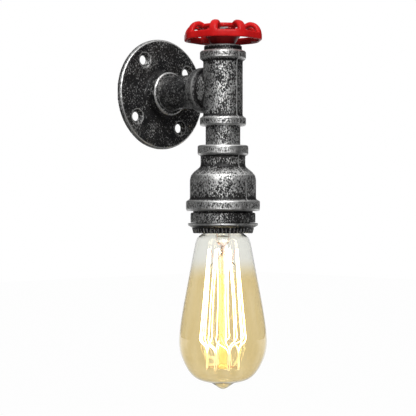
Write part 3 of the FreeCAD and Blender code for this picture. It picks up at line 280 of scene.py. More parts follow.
# the band just under the ring's top is a painted highlight
ringLook = dict(ironLook, amount=-0.25, edgeStart=0.6, edgeShare=0.7, rough=0.3, gloss=0.2, grainDepth=0.00005,
                paintedHighlight=((ringTop - 1.5) / 1000, (ringTop - 0.2) / 1000))

# the inside colour and the zone after it are painted shade for the wheel's underside
enamelLook = {"red": (0.66, 0.014, 0.014, 1), "deep": (0.54, 0.009, 0.010, 1), "bare": (0.07, 0.02, 0.018, 1),
              "inside": (0.19, 0.010, 0.010, 1), "thin": (0.0385, 0.0425, 0.0277, 0.0283)}


def enamelFinish():
    material, tree, skin, place = newMaterial("redEnamel", Coat_Weight=0.1, Coat_Roughness=0.06,
                                              Specular_IOR_Level=0.08)
    cloud = noise(tree, place, 90.0, 3.0, 0.6)
    red = mixed(tree, ramp(tree, cloud, 0.35, 0.7), enamelLook["red"], enamelLook["deep"])
    # painted shade: a darker red under the wheel, on the hub and on the band's inner side
    spread = vector(tree, "SUBTRACT", place, (0, dropY / 1000, 0))
    spread = vector(tree, "LENGTH", vector(tree, "MULTIPLY", spread, (1, 1, 0)))
    low, high, inner, outer = enamelLook["thin"]
    thin = maths(tree, "MULTIPLY", ramp(tree, spread, inner, outer, 1.0, 0.0),
                 ramp(tree, axisOf(tree, place, "Z"), low, high, 1.0, 0.0))
    red = mixed(tree, thin, red, enamelLook["inside"])
    chips = group(tree, edgeRub, Place=place, Wear=proudness(tree, "wear"), Scale=900.0, Start=1.6)
    tree.links.new(mixed(tree, chips, red, enamelLook["bare"]), skin.inputs["Base Color"])
    tree.links.new(ramp(tree, noise(tree, place, 500.0), 0.3, 0.7, 0.26, 0.42), skin.inputs["Roughness"])
    bump(tree, skin, group(tree, castGrain, Place=place, Scale=450.0, Pits=0.2), 0.5, 0.00012)
    return material


# plain metals and other stuffs: a colour, a second colour for its clouds, and a grain
def plainFinish(name, first, second, rough, metal=0.0, grain=400.0, depth=0.00004, **fixed):
    material, tree, skin, place = newMaterial(name, Metallic=metal, **fixed)
    cloud = ramp(tree, noise(tree, place, grain * 0.3, 3.0, 0.6), 0.3, 0.7)
    tree.links.new(mixed(tree, cloud, first, second), skin.inputs["Base Color"])
    uneven = ramp(tree, noise(tree, place, grain), 0.3, 0.7, rough * 0.8, rough * 1.25)
    tree.links.new(uneven, skin.inputs["Roughness"])
    bump(tree, skin, group(tree, castGrain, Place=place, Scale=grain, Pits=0.1), 0.4, depth)
    return material


bulbLook = {"clear": (0.889, 0.891, 0.858, 1), "amber": (0.83, 0.73, 0.49, 1), "amberReflection": (0.87, 0.78, 0.57, 1),
            "amberRim": (0.50, 0.36, 0.20, 1), "clearRim": (0.62, 0.62, 0.60, 1),
            "amberTop": -146.0, "clearFoot": -127.0}


def bulbFinish():
    material, tree, skin, place = newMaterial("amberGlass", Transmission_Weight=1.0, Roughness=0.0, IOR=1.45)
    share = ramp(tree, axisOf(tree, place, "Z"), bulbLook["amberTop"] / 1000, bulbLook["clearFoot"] / 1000)
    # painted reflection: lighter amber streaks drawn out along the height of the glass
    reflectionStreak = noise(tree, put(tree, "ShaderNodeMapping", {"Vector": place, "Scale": (1, 1, 0.15)}).outputs[0], 120.0)
    amber = mixed(tree, ramp(tree, reflectionStreak, 0.3, 0.7), bulbLook["amber"], bulbLook["amberReflection"])
    tint = mixed(tree, share, amber, bulbLook["clear"])
    rim = put(tree, "ShaderNodeLayerWeight", {"Blend": 0.25}).outputs["Facing"]
    dark = mixed(tree, share, bulbLook["amberRim"], bulbLook["clearRim"])
    tree.links.new(mixed(tree, ramp(tree, rim, 0.6, 1.0), tint, dark), skin.inputs["Base Color"])
    return material


# painted light: the rod glows and turns whiter below a set height, most at its lower end, standing in for the
# filament's light on it
rodLook = {"glass": (0.93, 0.83, 0.60, 1), "core": (1.0, 0.80, 0.16, 1), "edge": (0.93, 0.42, 0.08, 1),
           "peach": (0.80, 0.52, 0.28, 1), "strength": 0.42, "lit": -120.0, "glowPeak": -141.5}


def rodFinish():
    material, tree, skin, place = newMaterial("stemGlass", Transmission_Weight=0.75, Roughness=0.03, IOR=1.45)
    height = axisOf(tree, place, "Z")
    glowPeak = ramp(tree, height, (rodLook["glowPeak"] + 2) / 1000, rodLook["glowPeak"] / 1000)
    lit = ramp(tree, height, (rodLook["lit"] + 3) / 1000, (rodLook["lit"] - 3) / 1000)
    rim = put(tree, "ShaderNodeLayerWeight", {"Blend": 0.45}).outputs["Facing"]
    core = mixed(tree, ramp(tree, rim, 0.35, 0.8), rodLook["core"], rodLook["edge"])
    tree.links.new(mixed(tree, glowPeak, rodLook["peach"], core), skin.inputs["Emission Color"])
    strength = maths(tree, "MULTIPLY", lit, maths(tree, "ADD", maths(tree, "MULTIPLY", glowPeak, 0.45), 0.25))
    tree.links.new(maths(tree, "MULTIPLY", strength, rodLook["strength"]), skin.inputs["Emission Strength"])
    tree.links.new(mixed(tree, lit, (0.97, 0.96, 0.94, 1), rodLook["glass"]), skin.inputs["Base Color"])
    return material


def clearFinish():
    material, tree, skin, place = newMaterial("clearGlass", Transmission_Weight=1.0, Roughness=0.0, IOR=1.45)
    cloud = ramp(tree, noise(tree, place, 120.0), 0.3, 0.7)
    tree.links.new(mixed(tree, cloud, (0.97, 0.97, 0.95, 1), (0.94, 0.94, 0.92, 1)), skin.inputs["Base Color"])
    return material


def glowFinish():
    material, tree, skin, place = newMaterial("glowingWire", Roughness=0.5)
    knee = ramp(tree, axisOf(tree, place, "Z"), (capFoot - 97) / 1000, (capFoot - 90) / 1000, 1.6, 14.0)
    tree.links.new(knee, skin.inputs["Emission Strength"])
    flicker = ramp(tree, noise(tree, place, 150.0), 0.3, 0.7)
    tree.links.new(mixed(tree, flicker, (1.0, 0.80, 0.48, 1), (1.0, 0.90, 0.66, 1)), skin.inputs["Emission Color"])
    tree.links.new(mixed(tree, flicker, (0.5, 0.3, 0.1, 1), (0.6, 0.4, 0.2, 1)), skin.inputs["Base Color"])
    return material


finishes = {
    "iron": ironFinish("blackIron", reducerLook),
    "tee": ironFinish("teeIron", teeLook),
    "flange": ironFinish("flangeIron", flangeLook),
    "pipe": ironFinish("pipeIron", pipeLook),
    "arm": ironFinish("armIron", armLook),
    "plug": ironFinish("plugIron", plugLook),
    "holder": ironFinish("holderBlack", holderLook),
    "ring": ironFinish("ringBlack", ringLook),
    "enamel": enamelFinish(),
    "bulb": bulbFinish(),
    "rod": rodFinish(),
    "clear": clearFinish(),
    "glow": glowFinish(),
    "copper": plainFinish("copperWire", (0.72, 0.34, 0.18, 1), (0.55, 0.24, 0.12, 1), 0.3, 0.9),
    "darkWire": plainFinish("darkWire", (0.07, 0.05, 0.035, 1), (0.11, 0.08, 0.05, 1), 0.5),
    "brass": plainFinish("brass", (0.70, 0.50, 0.22, 1), (0.58, 0.40, 0.17, 1), 0.3, 1.0),
    "zinc": plainFinish("zincSteel", (0.55, 0.55, 0.54, 1), (0.42, 0.42, 0.42, 1), 0.38, 1.0),
    "solder": plainFinish("solder", (0.60, 0.60, 0.60, 1), (0.45, 0.45, 0.46, 1), 0.45, 1.0),
    "porcelain": plainFinish("porcelain", (0.82, 0.80, 0.74, 1), (0.74, 0.71, 0.64, 1), 0.45),
    "blackGlass": plainFinish("blackGlass", (0.015, 0.015, 0.018, 1), (0.03, 0.028, 0.03, 1), 0.12),
    "brownWire": plainFinish("brownInsulation", (0.22, 0.09, 0.035, 1), (0.17, 0.07, 0.03, 1), 0.5),
    "blueWire": plainFinish("blueInsulation", (0.04, 0.11, 0.42, 1), (0.03, 0.08, 0.33, 1), 0.5),
}
print("finishes made:", len(finishes))


# mesh helpers

def newPiece(name, mesh, finish):
    piece = bpy.data.objects.new(name, mesh)
    bpy.context.scene.collection.objects.link(piece)
    mesh.materials.clear()
    mesh.materials.append(finishes[finish])
    return piece


def meshOf(shape, name):
    mesh = bpy.data.meshes.new(name)
    shape.to_mesh(mesh)
    shape.free()
    return mesh


def flatten(piece):  # the evaluated mesh takes the place of the modifiers
    bpy.context.view_layer.update()
    seen = piece.evaluated_get(bpy.context.evaluated_depsgraph_get())
    mesh = bpy.data.meshes.new_from_object(seen)
    piece.modifiers.clear()
    piece.data = mesh
    mesh.shade_smooth()


def finishPiece(piece, body, slot, *replaced):
    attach(piece, body)
    if replaced:
        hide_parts(*replaced)


def column(data, count, key, kind=float, width=3):
    values = np.empty(count * width, kind)
    data.foreach_get(key, values)
    return values.reshape(-1, width)


# how far each point stands proud of its surroundings, at two reaches: (attribute, rounds, full height)
proudReaches = (("wear", 6, 0.00010), ("swell", 60, 0.0010))


def addWear(mesh, reaches=proudReaches):
    count = len(mesh.vertices)
    places = column(mesh.vertices, count, "co")
    normals = column(mesh.vertices, count, "normal")
    ends = column(mesh.edges, len(mesh.edges), "vertices", np.int32, 2)
    both = np.concatenate([ends, ends[:, ::-1]])
    degree = np.maximum(np.bincount(both[:, 0], minlength=count), 1)
    for name, rounds, full in reaches:
        soft = places.copy()
        for _ in range(rounds):
            sums = [np.bincount(both[:, 0], weights=soft[both[:, 1], axis], minlength=count) for axis in range(3)]
            soft = np.stack(sums, 1) / degree[:, None]
        proud = ((places - soft) * normals).sum(1) / full
        mesh.attributes.new(name, "FLOAT", "POINT").data.foreach_set("value", proud.astype(np.float32))


def smoothPath(points, steps=6):  # a curve through every point
    points = [np.array(point, float) for point in points]
    path = []
    for index in range(len(points) - 1):
        first, last = points[index], points[index + 1]
        before = points[index - 1] if index else 2 * first - last
        after = points[index + 2] if index + 2 < len(points) else 2 * last - first
        for step in range(steps):
            share = step / steps
            path.append(0.5 * (2 * first + (last - before) * share
                               + (2 * before - 5 * first + 4 * last - after) * share ** 2
                               + (3 * first - before - 3 * last + after) * share ** 3))
    path.append(points[-1])
    return path


# Geometry Nodes: every tree has named inputs and ends in real geometry with its material
def newShapeTree(name, inputs):
    tree = bpy.data.node_groups.new(name, "GeometryNodeTree")
    tree.interface.new_socket("Geometry", in_out="INPUT", socket_type="NodeSocketGeometry")
    for label, kind, value in inputs:
        tree.interface.new_socket(label, in_out="INPUT", socket_type=kind).default_value = value
    tree.interface.new_socket("Material", in_out="INPUT", socket_type="NodeSocketMaterial")
    tree.interface.new_socket("Geometry", in_out="OUTPUT", socket_type="NodeSocketGeometry")
    return tree, tree.nodes.new("NodeGroupInput").outputs


def endShapeTree(tree, shape, material):
    real = put(tree, "GeometryNodeRealizeInstances", {0: shape}).outputs[0]
    done = put(tree, "GeometryNodeSetMaterial", {"Geometry": real, "Material": material}).outputs[0]
    tree.links.new(done, tree.nodes.new("NodeGroupOutput").inputs[0])
    return tree


# a rough cast skin moved along the normals
def makeCastSkin():
    tree, given = newShapeTree("castSkin", [("Depth", "NodeSocketFloat", 0.00008),
                                            ("Scale", "NodeSocketFloat", 250.0)])
    lumps = put(tree, "ShaderNodeTexNoise", {"Scale": given["Scale"], "Detail": 2.0}).outputs["Fac"]
    rise = maths(tree, "MULTIPLY", maths(tree, "SUBTRACT", lumps, 0.62), given["Depth"])
    normal = tree.nodes.new("GeometryNodeInputNormal").outputs[0]
    offset = put(tree, "ShaderNodeVectorMath", {0: normal, "Scale": rise}, operation="SCALE").outputs[0]
    moved = put(tree, "GeometryNodeSetPosition", {"Geometry": given["Geometry"], "Offset": offset}).outputs[0]
    return endShapeTree(tree, moved, given["Material"])


# a round tube along the edges of a path mesh
def makeWireTube():
    tree, given = newShapeTree("wireTube", [("Radius", "NodeSocketFloat", 0.0003), ("Sides", "NodeSocketInt", 8)])
    path = put(tree, "GeometryNodeMeshToCurve", {"Mesh": given["Geometry"]}).outputs[0]
    circle = put(tree, "GeometryNodeCurvePrimitiveCircle", {"Resolution": given["Sides"], "Radius": given["Radius"]})
    tube = put(tree, "GeometryNodeCurveToMesh",
               {"Curve": path, "Profile Curve": circle.outputs[0], "Fill Caps": True})
    return endShapeTree(tree, tube.outputs[0], given["Material"])


# copies of one mesh turned evenly about the drop axis
def makeTurnedCopies():
    tree, given = newShapeTree("turnedCopies", [("Count", "NodeSocketInt", 8)])
    points = put(tree, "GeometryNodePoints", {"Count": given["Count"], "Position": (0, dropY / 1000, 0)}).outputs[0]
    index = tree.nodes.new("GeometryNodeInputIndex").outputs[0]
    turn = maths(tree, "MULTIPLY", maths(tree, "DIVIDE", index, given["Count"]), 2 * math.pi)
    spin = put(tree, "ShaderNodeCombineXYZ", {"Z": turn}).outputs[0]
    copies = put(tree, "GeometryNodeInstanceOnPoints",
                 {"Points": points, "Instance": given["Geometry"], "Rotation": spin})
    return endShapeTree(tree, copies.outputs[0], given["Material"])


castSkin, wireTube, turnedCopies = makeCastSkin(), makeWireTube(), makeTurnedCopies()


def addTree(piece, tree, **values):  # inputs are set by their identifiers
    modifier = piece.modifiers.new(tree.name, "NODES")
    modifier.node_group = tree
    for item in tree.interface.items_tree:
        if item.item_type == "SOCKET" and item.in_out == "INPUT" and item.name in values:
            modifier[item.identifier] = values[item.name]


# corners are (radius, height, rounding) in mm
def roundedOutline(corners, steps=4):
    outline = []
    for index, (radius, height, ease) in enumerate(corners):
        here = np.array((radius, height))
        if ease <= 0:
            outline.append(tuple(here))
            continue
        before = np.array(corners[index - 1][:2]) - here
        after = np.array(corners[(index + 1) % len(corners)][:2]) - here
        start = here + before / np.linalg.norm(before) * ease
        end = here + after / np.linalg.norm(after) * ease
        for step in range(steps + 1):
            share = step / steps
            point = (1 - share) ** 2 * start + 2 * share * (1 - share) * here + share ** 2 * end
            outline.append(tuple(point))
    return outline


# faces between neighbouring rings of points
def joinRings(shape, rings, closed):
    made = []
    for index in range(len(rings) if closed else len(rings) - 1):
        first, second = rings[index], rings[(index + 1) % len(rings)]
        for side in range(len(first)):
            other = (side + 1) % len(first)
            made.append(shape.faces.new((first[side], first[other], second[other], second[side])))
    return made


# one closed outline of (radius, height) in mm turned about the drop axis
def turnOutline(shape, outline, segments, closed=True):
    rings = []
    for radius, height in outline:
        ring = []
        for index in range(segments):
            angle = 2 * math.pi * index / segments
            place = (radius * math.cos(angle), dropY + radius * math.sin(angle), height)
            ring.append(shape.verts.new([value / 1000 for value in place]))
        rings.append(ring)
    return joinRings(shape, rings, closed)


# a bar of rounded section: each place has an outward and a sideways half width, in mm
def sweepBar(shape, places, outwards, sideways, closed=False, roundness=1.0, sides=16):
    angles = [2 * math.pi * index / sides for index in range(sides)]
    section = [(math.copysign(abs(math.cos(angle)) ** roundness, math.cos(angle)),
                math.copysign(abs(math.sin(angle)) ** roundness, math.sin(angle))) for angle in angles]
    rings = []
    for place, out, side in zip(places, outwards, sideways):
        rings.append([shape.verts.new((place + out * share + side * other) / 1000) for share, other in section])
    made = joinRings(shape, rings, closed)
    if not closed:
        made += [shape.faces.new(rings[0]), shape.faces.new(rings[-1])]
    bmesh.ops.recalc_face_normals(shape, faces=made)


# the valve wheel, cast in one: fingers, band, crest ring, spokes and hub as bars that are melted together
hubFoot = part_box("handwheel")[0][2] * 1000
wheelFoot = hubFoot + 3.25  # mm, foot of the band
wheel = {"first": 31.6, "fingers": 8,
         "finger": [(27.75, 0.8), (27.75, 4.6), (26.8, 7.8), (24.6, 10.35), (21.4, 11.45), (19.2, 10.9), (17.2, 9.8)],
         "fingerDepth": 2.1, "fingerWidth": (3.5, 2.8), "corner": (15.9, 12.95), "bandHeight": 2.7, "bandDepth": 1.05,
         "ring": (17.0, 10.15), "ringHalf": 1.6, "spoke": [(16.0, 9.4), (14.2, 6.2), (12.6, 3.7), (11.2, 3.0)],
         "spokeHalf": (1.0, 1.7), "lip": [(15.6, 10.6), (17.0, 10.6), (15.9, 8.4), (14.7, 8.6)]}


def makeWheelShape():
    plan = wheel
    shape = bmesh.new()
    middle = Vector((0, dropY, wheelFoot))
    up = Vector((0, 0, 1))
    band = ([], [])
    for index in range(plan["fingers"]):
        angle = math.radians(plan["first"]) + 2 * math.pi * index / plan["fingers"]
        for run, depth, widths in ((smoothPath([(radius, 0, height) for radius, height in plan["finger"]], 4),
                                    plan["fingerDepth"], plan["fingerWidth"]),
                                   (smoothPath([(radius, 0, height) for radius, height in plan["spoke"]], 4),
                                    plan["spokeHalf"][0], (plan["spokeHalf"][1],) * 2)):
            out = Vector((math.cos(angle), math.sin(angle), 0))
            side = up.cross(out)
            places, outwards, sideways = [], [], []
            for step, (radius, _, height) in enumerate(run):
                before, after = run[max(step - 1, 0)], run[min(step + 1, len(run) - 1)]
                rise = Vector((after[0] - before[0], after[2] - before[2])).normalized()
                places.append(middle + out * radius + up * height)
                outwards.append((out * rise.y - up * rise.x) * depth)
                share = step / (len(run) - 1)
                sideways.append(side * (widths[0] * (1 - share) + widths[1] * share))
            sweepBar(shape, places, outwards, sideways, roundness=0.85)
        # the band's rounded corner at this finger; the sides between corners are straight
        centre, reach = plan["corner"]
        for step in range(7):
            turn = angle + (step / 6 - 0.5) * 2 * math.pi / plan["fingers"]
            normal = Vector((math.cos(turn), math.sin(turn), 0))
            axis = Vector((math.cos(angle), math.sin(angle), 0))
            band[0].append(middle + axis * centre + normal * reach + up * plan["bandHeight"])
            band[1].append(normal * plan["bandDepth"])
    sweepBar(shape, *band, [up * plan["bandHeight"]] * len(band[0]), closed=True, roundness=0.45)
    radius, height = plan["ring"]
    angles = np.linspace(0, 2 * math.pi, 96, endpoint=False)
    spokes = [Vector((math.cos(angle), math.sin(angle), 0)) for angle in angles]
    sweepBar(shape, [middle + spoke * radius + up * height for spoke in spokes],
             [spoke * plan["ringHalf"] for spoke in spokes], [up * plan["ringHalf"]] * len(spokes), closed=True)
    low, web = hubFoot, wheelFoot + 3.7
    hub = [(4.3, web), (12.0, web), (12.9, web - 1.0), (11.8, web - 1.6), (8.5, low), (4.3, low)]
    lip = [(radius, wheelFoot + height) for radius, height in plan["lip"]]
    for outline in (hub, lip):
        faces = turnOutline(shape, roundedOutline([corner + (0.3,) for corner in outline]), 96)
        bmesh.ops.recalc_face_normals(shape, faces=faces)
    return shape


# a CAD casting copied, merged and remeshed so that its edges soften and its skin roughens
castings = {
    "wallFlange": {"node": "wall_flange", "finish": "flange", "voxel": 0.5, "soften": 3, "depth": 0.10},
    "armPipe": {"node": "arm_nipple", "finish": "arm", "voxel": 0.5, "soften": 2, "depth": 0.03},
    "teeFitting": {"node": "tee", "finish": "tee", "voxel": 0.42, "soften": 2, "depth": 0.10},
    "dropPipe": {"node": "drop_nipple", "finish": "pipe", "voxel": 0.5, "soften": 2, "depth": 0.03},
    "bellReducer": {"node": "reducer", "finish": "iron", "voxel": 0.5, "soften": 3, "depth": 0.12},
    "topPlug": {"node": "top_plug", "finish": "plug", "voxel": 0.4, "soften": 2, "depth": 0.06},
    "valveWheel": {"node": "handwheel", "finish": "enamel", "voxel": 0.36, "soften": 5, "depth": 0.05,
                   "body": "wheel", "slot": "red_enamel", "shape": makeWheelShape},
}
skinScale = 220.0


def makeCasting(name, plan):
    if "shape" in plan:
        shape = plan["shape"]()
    else:
        shape = bmesh.new()
        shape.from_mesh(nodes[plan["node"]].data)
        bmesh.ops.remove_doubles(shape, verts=shape.verts, dist=2e-6)
    piece = newPiece(name, meshOf(shape, name), plan["finish"])
    remesh = piece.modifiers.new("remesh", "REMESH")
    remesh.mode = "VOXEL"
    remesh.voxel_size = plan["voxel"] / 1000
    soften = piece.modifiers.new("soften", "SMOOTH")
    soften.factor = 0.5
    soften.iterations = plan["soften"]
    addTree(piece, castSkin, Depth=plan["depth"] / 1000, Scale=skinScale, Material=finishes[plan["finish"]])
    flatten(piece)
    addWear(piece.data)
    finishPiece(piece, plan.get("body", "fixture"), plan.get("slot", "iron"), plan["node"])
    return piece


for name, plan in castings.items():
    casting = makeCasting(name, plan)
    print(name, len(casting.data.polygons), "faces")


def lathe(name, outline, finish, segments=128, closed=True):
    shape = bmesh.new()
    turnOutline(shape, outline, segments, closed)
    bmesh.ops.remove_doubles(shape, verts=shape.verts, dist=1e-6)
    bmesh.ops.recalc_face_normals(shape, faces=shape.faces)
    mesh = meshOf(shape, name)
    mesh.shade_smooth()
    return newPiece(name, mesh, finish)


# turned meshes are coarser, so one round reaches as far
turnedReaches = (("wear", 2, 0.0006), ("swell", 4, 0.003))
ribReaches = (("wear", 1, 0.0005), ("swell", 1, 0.003))

# collar of the lampholder below the reducer
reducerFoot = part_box("reducer")[0][2] * 1000
holder = {"bore": 18.8, "thread": 20.9, "top": reducerFoot + 10, "mouth": reducerFoot, "groove": 22.5,
          "collarTop": reducerFoot - 1.1, "collar": 24.5, "collarFoot": reducerFoot - 8.7, "skirt": 20.3,
          "skirtFoot": reducerFoot - 15.7}


def makeHolder():
    plan = holder
    corners = [(plan["bore"], plan["top"], 0.3), (plan["thread"], plan["top"], 0.3),
               (plan["thread"], plan["mouth"], 0.1), (plan["groove"], plan["mouth"], 0.1),
               (plan["groove"], plan["collarTop"], 0.2),
               (plan["collar"], plan["collarTop"], 1.3), (plan["collar"], plan["collarFoot"], 0.5),
               (plan["skirt"], plan["collarFoot"], 0.2), (plan["skirt"], plan["skirtFoot"], 0.4),
               (plan["bore"], plan["skirtFoot"], 0.3)]
    piece = lathe("holderCollar", roundedOutline(corners), "holder")
    addWear(piece.data, turnedReaches)
    finishPiece(piece, "fixture", "holder_black", "lampholder_shell")


makeHolder()


# shade ring: a plate with a painted highlight along its lip, a short cone, and ribs down its grip
shadeRing = {"bore": 20.35, "top": ringTop, "rim": 26.4, "plateFoot": ringTop - 1.7, "coneFoot": ringTop - 3.4,
             "skirt": 22.9, "mouth": 21.8, "foot": ringTop - 7.35, "ribs": 48, "ribWidth": 1.25, "ribRise": 0.62,
             "ribFoot": ringTop - 7.8}


def makeShadeRing():
    plan = shadeRing
    corners = [(plan["bore"], plan["top"], 0.3), (plan["rim"], plan["top"], 0.35),
               (plan["rim"], plan["plateFoot"], 0.7),
               (plan["skirt"] + 0.2, plan["coneFoot"], 0.5), (plan["mouth"], plan["foot"], 0.4),
               (plan["bore"], plan["foot"], 0.3)]
    ring = lathe("shadeRing", roundedOutline(corners), "ring", 144)
    addWear(ring.data, turnedReaches)
    finishPiece(ring, "fixture", "holder_black", "shade_ring")
    # one rib, its outline in the plane of radius and height, copied round by the node tree
    half = plan["ribWidth"] / 2
    side = [(plan["mouth"] - 0.3, plan["ribFoot"] + 0.3), (plan["mouth"] + plan["ribRise"], plan["ribFoot"] + 0.25),
            (plan["skirt"] + plan["ribRise"] - 0.1, plan["coneFoot"] - 0.3), (plan["skirt"] - 0.3, plan["coneFoot"])]
    shape = bmesh.new()
    faces = []
    for across in (-half, half):
        taper = 0.75 if across else 1
        faces.append([shape.verts.new((radius / 1000, across * taper / 1000, height / 1000))
                      for radius, height in side])
    shape.faces.new(faces[0])
    shape.faces.new(reversed(faces[1]))
    for index in range(4):
        other = (index + 1) % 4
        shape.faces.new((faces[0][other], faces[0][index], faces[1][index], faces[1][other]))
    bmesh.ops.bevel(shape, geom=shape.edges[:], offset=0.0003, segments=1, affect="EDGES")
    bmesh.ops.recalc_face_normals(shape, faces=shape.faces)
    ribs = newPiece("gripRibs", meshOf(shape, "gripRibs"), "ring")
    addTree(ribs, turnedCopies, Count=plan["ribs"], Material=finishes["ring"])
    flatten(ribs)
    addWear(ribs.data, ribReaches)
    finishPiece(ribs, "fixture", "holder_black")


makeShadeRing()
print("holder collar and shade ring made")


# lamp glass: poles of a smooth side, (radius, fall below the cap's edge) in mm
lampGlass = {
    "poles": [(12.5, 1.8), (12.5, 5.4), (18.7, 7.0), (20.9, 12.0), (23.2, 25.0), (28.0, 50.0), (31.2, 68.0),
              (34.45, 90.5), (29.6, 103.9), (23.6, 113.5), (17.6, 116.9), (9.9, 118.1)],
    "pip": [(9.3, 118.4), (7.2, 119.6), (5.0, 121.2), (3.1, 122.5), (1.5, 123.25), (0.0, 123.45)],
    "hollowPip": [(8.6, 117.9), (6.5, 119.0), (4.3, 120.6), (2.4, 121.8), (0.0, 122.5)],
    "neckTop": -2.3, "wall": 0.8, "samples": 64}


# points of a clamped cubic B-spline, worked out span by span
def splinePoints(poles, samples):
    poles = np.array(poles, float)
    spans = len(poles) - 3
    knots = np.concatenate([[0] * 3, np.arange(spans + 1), [spans] * 3]).astype(float)
    points = []
    for place in np.linspace(0, spans, samples):
        span = min(int(place), spans - 1) + 3
        part = [poles[index + span - 3].copy() for index in range(4)]
        for level in range(1, 4):
            for index in range(3, level - 1, -1):
                low = knots[index + span - 3]
                high = knots[index + 1 + span - level]
                share = (place - low) / (high - low)
                part[index] = (1 - share) * part[index - 1] + share * part[index]
        points.append(part[3])
    return np.array(points)


def makeLampGlass():
    plan = lampGlass
    side = splinePoints(plan["poles"], plan["samples"])
    along = np.gradient(side, axis=0)
    inwards = np.stack([-along[:, 1], along[:, 0]], 1)
    inwards /= np.linalg.norm(inwards, axis=1)[:, None]
    hollow = side + inwards * plan["wall"]
    outer = [(plan["poles"][0][0], plan["neckTop"])] + [tuple(point) for point in side] + plan["pip"]
    inner = plan["hollowPip"][::-1] + [tuple(point) for point in hollow[::-1]]
    inner.append((plan["poles"][0][0] - plan["wall"], plan["neckTop"]))
    outline = [(radius, capFoot - fall) for radius, fall in outer + inner]
    piece = lathe("lampGlass", outline, "bulb", 144)
    finishPiece(piece, "bulb", "amber_glass", "bulb_glass")


makeLampGlass()


# glass stem: a clear flare closing on the leads, then the rod with its two buttons
stem = {"flare": 11.4, "top": -2.3, "waist": 5.7, "waistFall": 6.5, "tube": 5.3, "tubeFall": 12.0,
        "press": 1.9, "pressFall": 15.5, "pressFoot": 22.6, "hollowFoot": 14.6, "rod": 3.0, "rodTop": 22.0,
        "upper": 38.5, "upperButton": 3.6, "lower": 106.5, "lowerButton": 3.9, "buttonHalf": 1.5}


def makeStem():
    plan = stem

    def button(radius, fall):
        half = plan["buttonHalf"]
        return [(plan["rod"], fall - half, 0.3), (radius, fall - half * 0.6, 0.5), (radius, fall + half * 0.6, 0.5),
                (plan["rod"], fall + half, 0.3)]

    flare = [(plan["flare"] - 0.8, plan["top"], 0.0), (plan["flare"], plan["top"], 0.0),
             (plan["waist"], plan["waistFall"], 2.0),
             (plan["tube"], plan["tubeFall"], 1.0), (plan["press"], plan["pressFall"], 0.8),
             (plan["press"], plan["pressFoot"], 0.4), (0.0, plan["pressFoot"], 0.0), (0.0, plan["hollowFoot"], 0.0),
             (plan["tube"] - 0.8, plan["tubeFall"] - 0.3, 1.0), (plan["waist"] - 0.8, plan["waistFall"] - 0.3, 1.5)]
    rod = [(0.0, plan["rodTop"], 0.0), (plan["rod"], plan["rodTop"], 0.8)]
    rod += button(plan["upperButton"], plan["upper"]) + button(plan["lowerButton"], plan["lower"])
    rod += [(0.0, plan["lower"] + 1.6, 0.0)]
    for name, corners, finish, replaced in (("stemFlare", flare, "clear", ()),
                                            ("stemGlass", rod, "rod", ("bulb_stem",))):
        outline = [(radius, capFoot - fall) for radius, fall in roundedOutline(corners, 3)]
        finishPiece(lathe(name, outline, finish, 64), "bulb", "stem_glass", *replaced)


makeStem()


# wires of the lamp: cage strands, their hooks, and the leads

cage = {"hooks": 8, "turn": 20.0, "top": 11.3, "topFall": 18.5, "waist": 14.4, "side": 16.7, "sideFall": 78.0,
        "bulge": 17.3, "bulgeFall": 86.6, "foot": 12.9, "footRun": 14.0, "endFall": 107.3, "loop": 0.75, "wire": 0.27,
        "hookWire": 0.16, "upper": 38.5, "lower": 106.5, "upperButton": 3.5, "lowerButton": 3.8}


def wirePiece(name, paths, radius, finish, body, slot, *replaced):
    verts, edges = [], []
    for path in paths:
        start = len(verts)
        verts += [(point[0] / 1000, (point[1] + dropY) / 1000, point[2] / 1000) for point in path]
        edges += [(start + index, start + index + 1) for index in range(len(path) - 1)]
    mesh = bpy.data.meshes.new(name)
    mesh.from_pydata(verts, edges, [])
    piece = newPiece(name, mesh, finish)
    addTree(piece, wireTube, Radius=radius / 1000, Sides=8, Material=finishes[finish])
    flatten(piece)
    finishPiece(piece, body, slot, *replaced)
    return piece


def cagePoint(radius, angle, height, aside=0.0):
    return (radius * math.cos(angle) - aside * math.sin(angle),
            radius * math.sin(angle) + aside * math.cos(angle), height)


